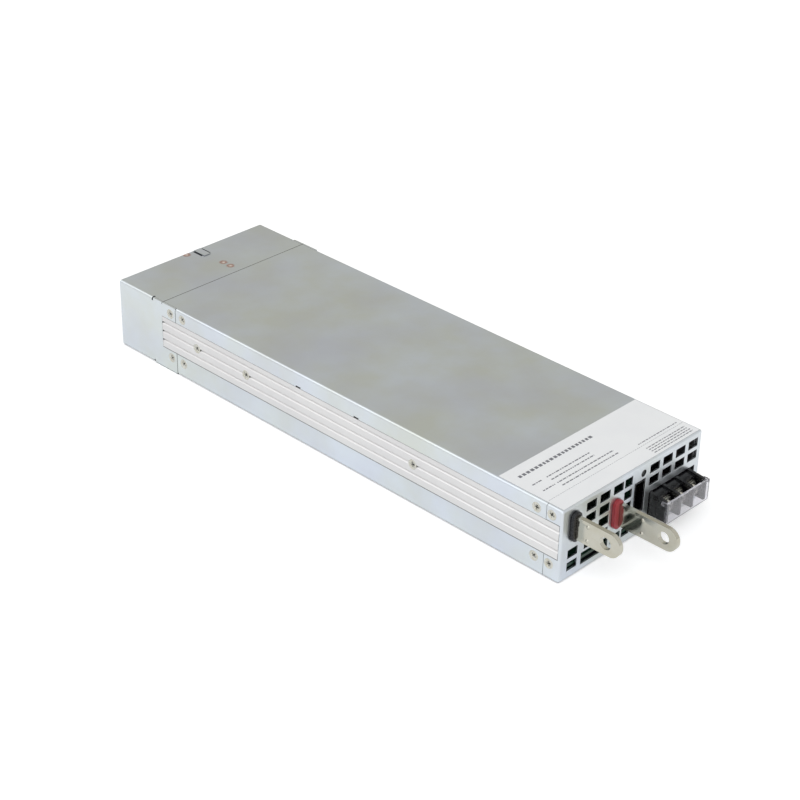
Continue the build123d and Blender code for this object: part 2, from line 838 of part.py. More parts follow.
def make_terminal_metal():
    """Fixed contacts, loose clamp plates and their screws."""
    clamp_y = face_y - contact_thickness
    contact_bottom = block_bottom + contact_base_height
    with BuildPart() as contacts:
        for x in pole_xs:
            slab(x - contact_width / 2, x + contact_width / 2, clamp_y, face_y,
                 contact_bottom, block_bottom + contact_height)
            forward_hole(x, face_y, terminal_screw_z, 2 * contact_thickness)
    finish(contacts, "terminal_contacts")
    for number, x in enumerate(pole_xs, start=1):
        with BuildPart() as clamp:
            with BuildSketch(section_plane(clamp_y)):
                with Locations((x, terminal_screw_z)):
                    RectangleRounded(clamp_size, clamp_size, clamp_corner)
                    Circle(terminal_shank_radius + thread_fit, mode=Mode.SUBTRACT)
            extrude(amount=clamp_thickness)
        finish(clamp, f"clamp_plate_{number}")
        make_terminal_screw(number, x, clamp_y - clamp_thickness)


def make_terminal_screw(number, x, head_y):
    """Pan-head screw whose shank runs into the block behind the clamp plate."""
    with BuildPart() as screw:
        with BuildSketch(section_plane(head_y)):
            with Locations((x, terminal_screw_z)):
                Circle(terminal_head_radius)
        extrude(amount=terminal_head_height)
        fillet(screw.edges().group_by(Axis.Y)[0], terminal_head_edge)
        with BuildSketch(section_plane(head_y + terminal_shank_length)):
            with Locations((x, terminal_screw_z)):
                Circle(terminal_shank_radius)
        extrude(amount=terminal_shank_length)
        with Locations((x, head_y - terminal_head_height, terminal_screw_z)):
            Box(cross_arm, 2 * cross_depth, cross_width, mode=Mode.SUBTRACT)
            Box(cross_width, 2 * cross_depth, cross_arm, mode=Mode.SUBTRACT)
    finish(screw, f"terminal_screw_{number}")


def make_terminal_cover():
    """Clear cover whose ears pin it to the end barriers, so that it swings up."""
    back_y = front_y - block_reach - cover_gap
    plate_y = back_y - cover_plate
    left = block_left_x - ear_gap - ear_thickness
    right = block_right_x + ear_gap + ear_thickness
    centred = (Align.CENTER, Align.CENTER, Align.MIN)
    with BuildPart() as cover:
        slab(left, right, plate_y, back_y, block_bottom - cover_drop, hinge_z + cover_rise)
        for outer in (left, right - ear_thickness):
            with Locations(across_plane(outer, hinge_y, hinge_z)):
                Cylinder(cover_rise, ear_thickness, align=centred)
            slab(outer, outer + ear_thickness, back_y, hinge_y, hinge_z - cover_rise,
                 hinge_z + cover_rise)
        for inner in (left, right - hinge_pin_length - ear_gap):
            with Locations(across_plane(inner, hinge_y, hinge_z)):
                Cylinder(hinge_pin_radius, hinge_pin_length + ear_gap, align=centred)
    finish(cover, "terminal_cover")


def make_signal_connector():
    """Shrouded pin header against the control board, open to the front."""
    right = signal_left + signal_width
    top = signal_bottom + signal_height
    row_pitch = (signal_height - 2 * signal_wall) / signal_rows
    with BuildPart() as shell:
        slab(signal_left, right, front_y, front_y + signal_depth, signal_bottom, top)
        slab(signal_left + signal_wall, right - signal_wall, front_y - 1, front_y + signal_pocket,
             signal_bottom + signal_wall, top - signal_wall, mode=Mode.SUBTRACT)
    finish(shell, "signal_connector")
    with BuildPart() as pins:
        middle = (signal_left + signal_width / 2, signal_bottom + signal_height / 2)
        with BuildSketch(section_plane(front_y + signal_pocket)):
            with Locations(middle):
                with GridLocations(row_pitch, row_pitch, signal_columns, signal_rows):
                    Rectangle(signal_pin, signal_pin)
        extrude(amount=signal_pin_length)
    finish(pins, "signal_pins")


def make_lamp():
    """Status lamp in a block on the control board, seen through the panel's round hole."""
    tip_y = front_y + sheet / 2
    holder_y = front_y + 2 * sheet
    with BuildPart() as lamp:
        with BuildSketch(section_plane(holder_y)):
            with Locations((lamp_x, lamp_z)):
                Circle(lamp_radius)
        extrude(amount=holder_y - tip_y)
        fillet(lamp.edges().group_by(Axis.Y)[0], lamp_edge)
    finish(lamp, "status_lamp")
    with BuildPart() as holder:
        slab(signal_left, lamp_x + lamp_holder_half, holder_y, holder_y + lamp_holder_depth,
             lamp_z - lamp_holder_half, lamp_z + lamp_holder_half)
    finish(holder, "lamp_holder")


def stand_off_locations(z):
    """Places of the board's stand-offs at a height."""
    pitch_x = 2 * (rail_inner_x - stand_off_inset)
    places = GridLocations(pitch_x, stand_off_pitch, 2, stand_off_rows)
    return Locations(*[place * Location((0, stand_off_centre_y, z)) for place in places])


def make_boards():
    """Main board, upright control board and the film between board and floor."""
    front = front_y + board_front_setback
    half = rail_inner_x - board_margin
    with BuildPart() as main_board:
        slab(-half, half, front, board_rear_y, board_underside, board_top)
        with stand_off_locations(0):
            Cylinder(board_shank_radius, 6 * board_top, mode=Mode.SUBTRACT)
    finish(main_board, "main_board")
    with BuildPart() as control_board:
        slab(signal_left - board_thickness, signal_left, front, front + control_length,
             board_top, board_top + control_height)
    finish(control_board, "control_board")
    with BuildPart() as film:
        slab(-half, half, front, board_rear_y, sheet, sheet + film_thickness)
        with stand_off_locations(0):
            Cylinder(stand_off_radius + film_clearance, 6 * sheet, mode=Mode.SUBTRACT)
        with GridLocations(fixing_pitch_x, fixing_pitch_y, 2, 2):
            Cylinder(fixing_nut_radius + film_clearance, 6 * sheet, mode=Mode.SUBTRACT)
    finish(film, "insulating_film")


def make_board_fasteners():
    """Stand-offs under the board, their screws and the nuts pressed into the floor."""
    upright = (Align.CENTER, Align.CENTER, Align.MIN)
    with BuildPart() as posts:
        with stand_off_locations(sheet):
            Cylinder(stand_off_radius, board_underside - sheet, align=upright)
            Cylinder(board_shank_radius, 6 * board_top, mode=Mode.SUBTRACT)
    finish(posts, "board_stand_offs")
    with BuildPart() as screws:
        with stand_off_locations(board_top):
            Cylinder(board_head_radius, board_head_height, align=upright)
            Cylinder(board_shank_radius, board_screw_length,
                     align=(Align.CENTER, Align.CENTER, Align.MAX))
    finish(screws, "board_screws")
    with BuildPart() as nuts:
        with Locations((0, 0, sheet)):
            with GridLocations(fixing_pitch_x, fixing_pitch_y, 2, 2):
                Cylinder(fixing_nut_radius, fixing_nut_height, align=upright)
                Cylinder(fixing_hole_radius, 6 * sheet, mode=Mode.SUBTRACT)
    finish(nuts, "fixing_nuts")


def make_side_screws():
    """Countersunk screws of the sheets, the rails and the fans."""
    with BuildPart() as screws:
        with side_locations(sheet_stations):
            countersink(screw_length, mode=Mode.ADD)
            cross_slot()
    finish(screws, "case_screws")
    with BuildPart() as screws:
        with side_locations(rail_stations):
            countersink(side_x - tip_x, mode=Mode.ADD)
            cross_slot()
    finish(screws, "rail_screws")
    with BuildPart() as screws:
        with fan_screw_locations():
            countersink(fan_screw_length, mode=Mode.ADD)
            cross_slot()
    finish(screws, "fan_screws")


def make_power_devices():
    """Power devices clamped flat on the rails by the rail screws and nuts."""
    bottom = package_top - package_height
    with BuildPart() as packages:
        for side in (-1, 1):
            for y in rail_screw_ys:
                inner, outer = sorted((side * package_x, side * rail_inner_x))
                slab(inner, outer, y - package_width / 2, y + package_width / 2, bottom, package_top)
                with Locations((side * (package_x + package_thickness / 2), y, bottom)):
                    with GridLocations(lead_pitch, lead_pitch, 1, 3):
                        Box(lead_thickness, lead_width, bottom - board_top,
                            align=(Align.CENTER, Align.CENTER, Align.MAX))
        with side_locations(rail_stations):
            Cylinder(shank_radius, 2 * (side_x - nut_x), mode=Mode.SUBTRACT)
    finish(packages, "power_devices")
    with BuildPart() as nuts:
        for side in (-1, 1):
            for y in rail_screw_ys:
                plane = Plane(origin=(side * package_x, y, groove_height_on_side),
                              x_dir=(0, 1, 0), z_dir=(-side, 0, 0))
                with BuildSketch(plane):
                    RegularPolygon(nut_radius, 6)
                    Circle(shank_radius, mode=Mode.SUBTRACT)
                extrude(amount=nut_thickness)
    finish(nuts, "device_nuts")


def make_can(name, centre, axis, radius, length):
    """Capacitor can with the crimp groove near its closed end."""
    with BuildPart(Plane(origin=centre, z_dir=axis)) as can:
        Cylinder(radius, length, align=(Align.CENTER, Align.CENTER, Align.MIN))
        with Locations((0, 0, crimp_height)):
            Cylinder(2 * radius, crimp_width, mode=Mode.SUBTRACT)
            Cylinder(radius - crimp_depth, crimp_width)
    finish(can, name)


def make_capacitors():
    """Bulk cans lying across the rear and output cans standing by the negative bar."""
    pitch = 2 * capacitor_radius + capacitor_gap
    for number, step in enumerate((-1, 0, 1), start=1):
        centre = (step * pitch, capacitor_rear_y, board_top + capacitor_radius)
        make_can(f"bulk_capacitor_{number}", centre, (0, -1, 0), capacitor_radius, capacitor_length)
    places = [(i, j) for j in (-0.5, 0.5) for i in (-0.5, 0.5)]
    for number, (i, j) in enumerate(places, start=1):
        centre = (output_can_x + i * output_can_pitch, output_can_y + j * output_can_pitch, board_top)
        make_can(f"output_capacitor_{number}", centre, (0, 0, 1), output_can_radius,
                 output_can_length)


def make_transformer(number, y):
    """Shell-type ferrite core whose windows hold a wound bobbin."""
    yoke = core_limb / 2
    coil_height = core_height - 2 * yoke
    with BuildPart() as core:
        with BuildSketch(Plane.YZ.offset(transformer_x - core_width / 2)):
            with Locations((y, board_top + core_height / 2)):
                Rectangle(core_length, core_height)
                with GridLocations(core_limb + core_window, 1, 2, 1):
                    Rectangle(core_window, coil_height, mode=Mode.SUBTRACT)
        extrude(amount=core_width)
    finish(core, f"transformer_core_{number}")
    with BuildPart() as coil:
        with BuildSketch(Plane.XY.offset(board_top + yoke)):
            with Locations((transformer_x, y)):
                coil_y = core_limb + 2 * core_window
                RectangleRounded(coil_width, coil_y, coil_corner)
                Rectangle(core_width, core_limb, mode=Mode.SUBTRACT)
        extrude(amount=coil_height)
    finish(coil, f"transformer_coil_{number}")


def make_ring(name, x, y, outer, inner, height):
    """Wound ring choke standing flat on the board."""
    with BuildPart() as ring:
        with BuildSketch(Plane.XY.offset(board_top)):
            with Locations((x, y)):
                Circle(outer)
                Circle(inner, mode=Mode.SUBTRACT)
        extrude(amount=height)
        fillet(ring.edges().group_by(Axis.Z)[-1], ring_edge)
    finish(ring, name)


def make_output_sink():
    """Finned heatsink of the output rectifiers."""
    with BuildPart() as sink:
        width = (fin_count - 1) * fin_pitch + fin_thickness
        slab(sink_x - width / 2, sink_x + width / 2, sink_y - sink_length / 2,
             sink_y + sink_length / 2, board_top, board_top + 2 * fin_thickness)
        with Locations((sink_x, sink_y, board_top)):
            with GridLocations(fin_pitch, 1, fin_count, 1):
                Box(fin_thickness, sink_length, sink_height,
                    align=(Align.CENTER, Align.CENTER, Align.MIN))
    finish(sink, "output_heatsink")


def make_input_parts():
    """Line fuse with end caps and the boxed line capacitor."""
    with BuildPart(Plane(origin=(fuse_x, fuse_y, board_top + fuse_radius), z_dir=(0, 1, 0))) as fuse:
        Cylinder(fuse_radius - fuse_tube_step, fuse_length)
        cap_length = fuse_cap_share * fuse_length
        for end in (-1, 1):
            with Locations((0, 0, end * (fuse_length - cap_length) / 2)):
                Cylinder(fuse_radius, cap_length)
    finish(fuse, "input_fuse")
    with BuildPart() as line_capacitor:
        with Locations((line_cap_x, line_cap_y, board_top)):
            Box(line_cap_length, line_cap_width, line_cap_height,
                align=(Align.CENTER, Align.CENTER, Align.MIN))
        fillet(line_capacitor.edges().filter_by(Axis.Z), line_cap_corner)
    finish(line_capacitor, "line_capacitor")


def make_label():
    """Film label on the lid behind the front edge."""
    near = front_y + label_front_inset
    half = side_x - label_margin
    with BuildPart() as label:
        slab(-half, half, near, near + label_length, case_height, case_height + label_thickness)
    finish(label, "rating_label")


make_top_cover()
make_bottom_chassis()
make_side_rails()
make_fan_housing()
make_fan_divider()
for fan_name, fan_x in zip(("left", "right"), fan_xs):
    make_fan(fan_name, fan_x)
make_front_panel()
make_bus_bar("negative", bar_negative_x, bar_negative_z, bar_negative_reach,
             bar_negative_hole_reach, bar_negative_pip_reach)
make_bus_bar("positive", bar_positive_x, bar_positive_z, bar_positive_reach,
             bar_positive_hole_reach, bar_positive_pip_reach)
make_collar("negative", bar_negative_x, bar_negative_z)
make_collar("positive", bar_positive_x, bar_positive_z)
make_terminal_block()
make_terminal_metal()
make_terminal_cover()
make_signal_connector()
make_lamp()
make_boards()
make_board_fasteners()
make_side_screws()
make_power_devices()
make_capacitors()
make_transformer(1, transformer_middle_y - transformer_pitch / 2)
make_transformer(2, transformer_middle_y + transformer_pitch / 2)
make_ring("line_choke_1", choke_x, choke_front_y, choke_outer, choke_inner, choke_height)
make_ring("line_choke_2", choke_x, choke_front_y + choke_pitch, choke_outer, choke_inner,
          choke_height)
make_ring("boost_choke_1", boost_x, boost_front_y, boost_outer, boost_inner, boost_height)
make_ring("boost_choke_2", boost_x, boost_front_y + boost_pitch, boost_outer, boost_inner,
          boost_height)
make_output_sink()
make_input_parts()
make_label()
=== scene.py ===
"""Studio scene of a flat enclosed power supply.

The packed CAD model is loaded as a fixed frame, in metres. Its solids keep their places. This
script gives every one of them its real finish and swaps some for pieces with rounded edges,
real screw heads, curved fan blades, wound chokes and a printed label.
"""

import json
import logging
import math
import random
from dataclasses import dataclass, field
from enum import Enum

import bmesh
import bpy
from mathutils import Matrix, Vector

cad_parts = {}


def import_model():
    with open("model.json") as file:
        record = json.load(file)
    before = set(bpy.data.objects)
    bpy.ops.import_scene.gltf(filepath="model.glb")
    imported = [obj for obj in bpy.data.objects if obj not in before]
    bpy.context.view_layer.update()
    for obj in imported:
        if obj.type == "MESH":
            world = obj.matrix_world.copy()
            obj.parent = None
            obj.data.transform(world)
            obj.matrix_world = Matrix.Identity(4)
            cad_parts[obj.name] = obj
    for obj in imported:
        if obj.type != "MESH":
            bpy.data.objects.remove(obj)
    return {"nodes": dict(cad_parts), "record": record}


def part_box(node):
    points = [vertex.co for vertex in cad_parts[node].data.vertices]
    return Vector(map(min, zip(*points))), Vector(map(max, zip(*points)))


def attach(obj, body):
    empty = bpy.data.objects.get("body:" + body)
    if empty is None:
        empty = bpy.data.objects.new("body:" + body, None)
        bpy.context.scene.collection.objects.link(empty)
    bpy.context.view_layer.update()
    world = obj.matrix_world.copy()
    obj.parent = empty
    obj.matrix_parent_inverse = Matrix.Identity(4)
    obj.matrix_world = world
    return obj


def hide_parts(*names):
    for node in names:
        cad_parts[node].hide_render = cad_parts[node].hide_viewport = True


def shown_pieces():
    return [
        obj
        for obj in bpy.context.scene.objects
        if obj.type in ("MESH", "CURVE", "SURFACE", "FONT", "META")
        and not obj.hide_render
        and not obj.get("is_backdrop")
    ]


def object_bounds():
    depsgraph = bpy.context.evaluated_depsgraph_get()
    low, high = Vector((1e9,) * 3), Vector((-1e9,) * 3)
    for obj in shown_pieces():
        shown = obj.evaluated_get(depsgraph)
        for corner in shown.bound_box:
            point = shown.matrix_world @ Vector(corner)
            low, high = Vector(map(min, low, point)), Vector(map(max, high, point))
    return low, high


Tree = bpy.types.NodeTree
Node = bpy.types.Node
Socket = bpy.types.NodeSocket
Material = bpy.types.Material
Piece = bpy.types.Object
Shape = bmesh.types.BMesh
Place = tuple[float, float, float]

MM = 0.001
# Colour sockets of a Mix node
RGBA_A, RGBA_B, RGBA_OUT = 6, 7, 2
# Points nearer than this are one, in working meshes and in meshes of the CAD, in metres
MERGE, CAD_MERGE = 1e-6, 0.002 * MM
# Steps round the axis of a screw
SCREW_STEPS = 40
# Noise values between which a tone sets in, and shares of open sky over which the painted shade
# fades out
TONE_CLOUDS, COOL_CLOUDS, GLOSS_PATCHES = (0.35, 0.65), (0.42, 0.68), (0.3, 0.7)
OPEN_SKY = (0.35, 0.9)
log = logging.getLogger("power_supply")


class Way(Enum):
    """Direction in which a drawn or rolled surface carries its lines."""

    NONE = (1.0, 1.0, 1.0)
    ALONG = (1.0, 0.02, 1.0)
    ACROSS = (0.03, 1.0, 1.0)


def linear(code: str) -> tuple[float, float, float, float]:
    """Turn an sRGB hex colour into linear light.

    Args:
        code: Colour as "#RRGGBB".

    Returns:
        Red, green, blue and an alpha of one.
    """
    values = [int(code[i:i + 2], 16) / 255 for i in (1, 3, 5)]
    low_end, slope, lift, power = 0.04045, 12.92, 0.055, 2.4
    return (*[v / slope if v <= low_end else ((v + lift) / (1 + lift)) ** power
              for v in values], 1.0)


def add_node(tree: Tree, kind: str, inputs: dict | None = None, **settings: object) -> Node:
    """Add one node with its settings, its values and its links.

    Args:
        tree: Shader or geometry tree that takes the node.
        kind: Type name of the node.
        inputs: Value, source socket or source node for each input, by name or index.
        settings: Properties of the node itself.

    Returns:
        The new node.
    """
    made = tree.nodes.new(kind)
    for key, value in settings.items():
        setattr(made, key, value)
    for key, value in (inputs or {}).items():
        if isinstance(value, Node):
            value = value.outputs[0]
        if isinstance(value, Socket):
            tree.links.new(value, made.inputs[key])
        else:
            made.inputs[key].default_value = value
    return made


def cleared(block: bpy.types.ID) -> Tree:
    """Empty node tree of a material or a world."""
    block.use_nodes = True
    block.node_tree.nodes.clear()
    return block.node_tree


def linked(name: str, data: bpy.types.ID | None) -> Piece:
    """New object with this data, in the scene and at the origin."""
    made = bpy.data.objects.new(name, data)
    bpy.context.scene.collection.objects.link(made)
    return made


def per_metre(size_mm: float) -> float:
    """Noise scale whose features are about this many millimetres wide."""
    return 1 / (size_mm * MM)


def overlaid(tree: Tree, under: Socket | tuple[float, ...], over: str, mask: Node | Socket,
             bounds: tuple[float, float], shares: tuple[float, float],
             easing: str = "LINEAR") -> Socket:
    """Lay one colour over another as far as a mask says.

    Args:
        tree: Tree of the material.
        under: Colour below.
        over: Hex colour on top.
        mask: What decides, such as a noise.
        bounds: Values of the mask where the change starts and ends.
        shares: Share of the upper colour at these two.
        easing: How the share runs between them.

    Returns:
        The colour socket.
    """
    share = add_node(tree, "ShaderNodeMapRange", {
        "Value": mask, "From Min": bounds[0], "From Max": bounds[1],
        "To Min": shares[0], "To Max": shares[1]}, interpolation_type=easing)
    return add_node(tree, "ShaderNodeMix", {
        0: share, RGBA_A: under, RGBA_B: linear(over)}, data_type="RGBA").outputs[RGBA_OUT]


@dataclass(frozen=True)
class Finish:
    """A surface finish: its plain values, a slow change of tone and a fine grain.

    The tone is a second colour, its size and its share; the grain is a size and a height.
    """

    name: str
    colour: str
    roughness: float
    tone: tuple[str, float, float]
    grain: tuple[float, float]
    metallic: float = 0.0
    ior: float = 1.5
    spread: float = 0.06
    way: Way = Way.NONE
    # Reach in millimetres of the painted shade in seams and recesses, and the colour of all painted
    # shade
    crevice: float = 0.0
    crevice_tone: str = "#2B2C30"

    def material(self) -> Material:
        """Build the finish once and hand out the same material after that."""
        made = bpy.data.materials.get(self.name)
        if made:
            return made
        made = bpy.data.materials.new(self.name)
        tree = cleared(made)
        place = add_node(tree, "ShaderNodeTexCoord").outputs["Object"]
        drawn = add_node(tree, "ShaderNodeMapping", {"Vector": place, "Scale": self.way.value})
        shader = add_node(tree, "ShaderNodeBsdfPrincipled", {
            "Metallic": self.metallic, "IOR": self.ior,
            "Base Color": self.darkened(tree, self.tint(tree, place)),
            "Roughness": self.gloss(tree, drawn), "Normal": self.relief(tree, drawn)})
        self.extras(shader)
        add_node(tree, "ShaderNodeOutputMaterial", {"Surface": shader})
        return made

    def tint(self, tree: Tree, place: Socket) -> Socket:
        """Mix the colour with its second tone in soft clouds.

        Args:
            tree: Tree of the material.
            place: Position on the object.

        Returns:
            The colour socket.
        """
        tone, size, share = self.tone
        cloud = add_node(tree, "ShaderNodeTexNoise", {
            "Vector": place, "Scale": per_metre(size), "Detail": 4.0, "Roughness": 0.55})
        return overlaid(tree, linear(self.colour), tone, cloud, TONE_CLOUDS, (0.0, share))

    def darkened(self, tree: Tree, colour: Socket) -> Socket:
        """Darken seams and recesses, where little light gets in.

        Args:
            tree: Tree of the material.
            colour: Colour of the open surface.

        Returns:
            The colour socket.
        """
        if not self.crevice:
            return colour
        # Painted shade: the colour goes dark where little open sky reaches the surface
        free = add_node(tree, "ShaderNodeAmbientOcclusion", {"Distance": self.crevice * MM},
                        samples=8)
        return overlaid(tree, colour, self.crevice_tone, free.outputs["AO"], OPEN_SKY, (1.0, 0.0))

    def gloss(self, tree: Tree, drawn: Node) -> Node:
        """Let the roughness wander by the spread, in patches of six grains.

        Args:
            tree: Tree of the material.
            drawn: Position stretched along the drawing lines.

        Returns:
            The node that gives the roughness.
        """
        patch = add_node(tree, "ShaderNodeTexNoise", {
            "Vector": drawn, "Scale": per_metre(6 * self.grain[0]), "Detail": 3.0})
        return add_node(tree, "ShaderNodeMapRange", {
            "Value": patch, "From Min": GLOSS_PATCHES[0], "From Max": GLOSS_PATCHES[1],
            "To Min": self.roughness - self.spread, "To Max": self.roughness + self.spread})

    def relief(self, tree: Tree, drawn: Node) -> Node:
        """Raise the grain.

        Args:
            tree: Tree of the material.
            drawn: Position stretched along the drawing lines.

        Returns:
            The node that gives the normal.
        """
        grain = add_node(tree, "ShaderNodeTexNoise", {
            "Vector": drawn, "Scale": per_metre(self.grain[0]), "Detail": 2.0})
        return add_node(tree, "ShaderNodeBump", {
            "Height": grain, "Distance": self.grain[1] * MM, "Strength": 1.0})

    def extras(self, shader: Node) -> None:
        """Add what only some finishes have."""


@dataclass(frozen=True)
class PlatedSheet(Finish):
    """Passivated sheet: a straw tone and a blue-violet tone drift over the plating, with painted
    shade along the seams.
    """

    cool: str = "#CDD0DE"
    cool_size: float = 45.0
    cool_share: float = 0.45
    top_seam_y: float = 126.05
    side_seam_y: float = 114.75
    fold_z: float = 39.8
    seam_width: float = 0.24
    seam_share: float = 0.7

    def tint(self, tree: Tree, place: Socket) -> Socket:
        """Lay the violet clouds over the straw ones."""
        cloud = add_node(tree, "ShaderNodeTexNoise", {
            "Vector": place, "Scale": per_metre(self.cool_size), "Detail": 3.0, "W": 4.0},
            noise_dimensions="4D")
        colour = overlaid(tree, super().tint(tree, place), self.cool, cloud, COOL_CLOUDS,
                          (0.0, self.cool_share))
        return self.seamed(tree, colour, place)

    def seamed(self, tree: Tree, colour: Socket, place: Socket) -> Socket:
        """Paint shade along the gaps where two sheets meet, on the top and on the sides.

        Args:
            tree: Tree of the material.
            colour: Colour of the open sheet.
            place: Position on the object.

        Returns:
            The colour socket.
        """
        axes = add_node(tree, "ShaderNodeSeparateXYZ", {0: place}).outputs
        above = add_node(tree, "ShaderNodeMath", {0: axes["Z"], 1: self.fold_z * MM},
                         operation="GREATER_THAN")
        seam = add_node(tree, "ShaderNodeMapRange", {
            "Value": above, "To Min": self.side_seam_y * MM, "To Max": self.top_seam_y * MM})
        near = add_node(tree, "ShaderNodeMath", {0: axes["Y"], 1: seam, 2: self.seam_width * MM},
                        operation="COMPARE")
        return overlaid(tree, colour, self.crevice_tone, near, (0.0, 1.0), (0.0, self.seam_share))


@dataclass(frozen=True)
class WeldedSheet(PlatedSheet):
    """The same sheet with burnt spots where a bracket is welded underneath."""

    welds: tuple[Place, ...] = ()
    rings: tuple[tuple[str, float, float], ...] = (("#B98A7C", 1.8, 3.6), ("#FFF6F0", 0.75, 2.25))
    ragged_size: float = 1.5
    ragged_by: float = 1.2

    def tint(self, tree: Tree, place: Socket) -> Socket:
        """Put a coppery ring and a bright core round each weld."""
        colour = super().tint(tree, place)
        nearest = None
        for spot in self.welds:
            away = add_node(tree, "ShaderNodeVectorMath", {0: place, 1: [c * MM for c in spot]},
                            operation="DISTANCE").outputs["Value"]
            nearest = away if nearest is None else add_node(
                tree, "ShaderNodeMath", {0: nearest, 1: away}, operation="MINIMUM")
        wobble = add_node(tree, "ShaderNodeTexNoise", {
            "Vector": place, "Scale": per_metre(self.ragged_size)})
        ragged = add_node(tree, "ShaderNodeMath", {0: wobble, 1: self.ragged_by * MM, 2: nearest},
                          operation="MULTIPLY_ADD")
        for paint, full, gone in self.rings:
            colour = overlaid(tree, colour, paint, ragged, (full * MM, gone * MM), (1.0, 0.0),
                              "SMOOTHSTEP")
        return colour


@dataclass(frozen=True)
class SeamShadedExtrusion(Finish):
    """Extruded bar with painted shade along its long edges, where the folded sheets meet them."""

    seams: tuple[tuple[float, float], ...] = ()
    line_width: float = 0.32

    def tint(self, tree: Tree, place: Socket) -> Socket:
        """Paint a thin line of shade along each seam, given by its height and its strength."""
        colour = super().tint(tree, place)
        height = add_node(tree, "ShaderNodeSeparateXYZ", {0: place}).outputs["Z"]
        for middle, strength in self.seams:
            near = add_node(tree, "ShaderNodeMath", {
                0: height, 1: middle * MM, 2: self.line_width * MM}, operation="COMPARE")
            colour = overlaid(tree, colour, self.crevice_tone, near, (0.0, 1.0), (0.0, strength))
        return colour


@dataclass(frozen=True)
class ClearFinish(Finish):
    """Moulded clear plastic: light passes it, a little clouded."""

    passes: float = 0.9

    def extras(self, shader: Node) -> None:
        """Let light through."""
        shader.inputs["Transmission Weight"].default_value = self.passes


@dataclass(frozen=True)
class LacqueredFinish(Finish):
    """A finish under a thin clear coat."""

    coat: float = 0.5
    coat_roughness: float = 0.1

    def extras(self, shader: Node) -> None:
        """Lay the coat on."""
        shader.inputs["Coat Weight"].default_value = self.coat
        shader.inputs["Coat Roughness"].default_value = self.coat_roughness


# Bright zinc on rolled sheet: satin grey with straw and violet passivation clouds, and painted
# shade along the seams and in recesses
ZINC_SHEET = PlatedSheet("zinc_plated_rolled_steel", "#DCE3EA", 0.33, tone=("#D2D5C6", 38.0, 0.6),
                         grain=(0.4, 0.002), metallic=1.0, spread=0.02, crevice=1.2)
# Extruded and clear anodised: pale, silky, with die lines along the length, and painted shade along
# the seams and in recesses
ANODISED = SeamShadedExtrusion("clear_anodised_extruded_aluminium", "#E2E1E0", 0.42,
                           tone=("#D8D6D7", 60.0, 0.5), grain=(0.35, 0.004), metallic=1.0,
                           spread=0.04, way=Way.ALONG, crevice=0.8,
                           seams=((13.1, 0.75), (32.4, 0.3)))
# Tin over rolled copper: warm silver, nearly a mirror, with handling blotches
TINNED_COPPER = Finish("tin_plated_rolled_copper", "#C6C4B8", 0.16, tone=("#BAB6A4", 9.0, 0.6),
                       grain=(0.9, 0.002), metallic=1.0, spread=0.05)
# Zinc-nickel plated fasteners: silver with a trace of straw, and painted shade in the recesses
SCREW_PLATING = Finish("zinc_nickel_plated_steel", "#D2D1C9", 0.26, tone=("#C2BDA6", 2.2, 0.5),
                       grain=(0.3, 0.004), metallic=1.0, crevice=1.5)
# Glass-filled moulding compound: near black with a fine spark-eroded skin
BLACK_PLASTIC = Finish("moulded_glass_filled_polyester", "#060508", 0.27,
                       tone=("#0F0E12", 6.0, 0.5), grain=(0.35, 0.006))
# Moulded polyamide collar: deep red, semi-gloss
RED_PLASTIC = Finish("moulded_red_polyamide", "#A02A33", 0.36, tone=("#8F2530", 5.0, 0.5),
                     grain=(0.4, 0.008), ior=1.53)
# Clear polycarbonate lid, slightly smoky from its own thickness
CLEAR_PLASTIC = ClearFinish("moulded_clear_polycarbonate", "#E2E1E6", 0.06,
                            tone=("#D8D7DF", 12.0, 0.5), grain=(3.0, 0.006), ior=1.58,
                            spread=0.03, passes=0.95)
# Satin polyester film of the rating label
LABEL_FILM = Finish("satin_polyester_label_film", "#F1F2F2", 0.42, tone=("#EBECEE", 18.0, 0.5),
                    grain=(1.2, 0.002), ior=1.6)
# Thermal-transfer ink on the film
LABEL_INK = Finish("thermal_transfer_ink", "#75767B", 0.5, tone=("#828388", 1.0, 0.5),
                   grain=(0.3, 0.002))
# Solder-masked glass laminate: green gloss over a faint weave
LAMINATE = LacqueredFinish("solder_masked_glass_laminate", "#18382A", 0.4,
                           tone=("#132E22", 4.0, 0.5), grain=(0.5, 0.01))
# Black polyester film between board and floor
DARK_FILM = Finish("black_polyester_film", "#23252A", 0.3, tone=("#2B2D33", 25.0, 0.5),
                   grain=(4.0, 0.02), ior=1.6)
# Sintered and ground ferrite: dull dark grey
FERRITE = Finish("sintered_manganese_zinc_ferrite", "#2B2B2D", 0.6, tone=("#363637", 3.0, 0.5),
                 grain=(0.3, 0.015), ior=2.0)
# Enamelled copper wire: amber-brown under a glossy enamel
ENAMEL_WIRE = LacqueredFinish("enamelled_copper_wire", "#9A5A2E", 0.3, tone=("#7E4522", 4.0, 0.5),
                              grain=(0.4, 0.004), metallic=1.0)
# Taped bobbin winding: yellow polyester tape with overlapping turns
TAPE = Finish("polyester_winding_tape", "#B89A3C", 0.35, tone=("#A58633", 6.0, 0.5),
              grain=(1.5, 0.02), ior=1.6, way=Way.ACROSS)
# Shrunk vinyl sleeve on the capacitor cans
SLEEVE = Finish("shrunk_vinyl_sleeve", "#16171C", 0.25, tone=("#1E2027", 12.0, 0.5),
                grain=(2.5, 0.02), ior=1.54)
# Tinted lamp lens, unlit: nearly black with a trace of green
LAMP_LENS = ClearFinish("tinted_epoxy_lens", "#0B100D", 0.45, tone=("#080C0A", 2.0, 0.5),
                        grain=(0.5, 0.004), ior=1.56, passes=0.05)
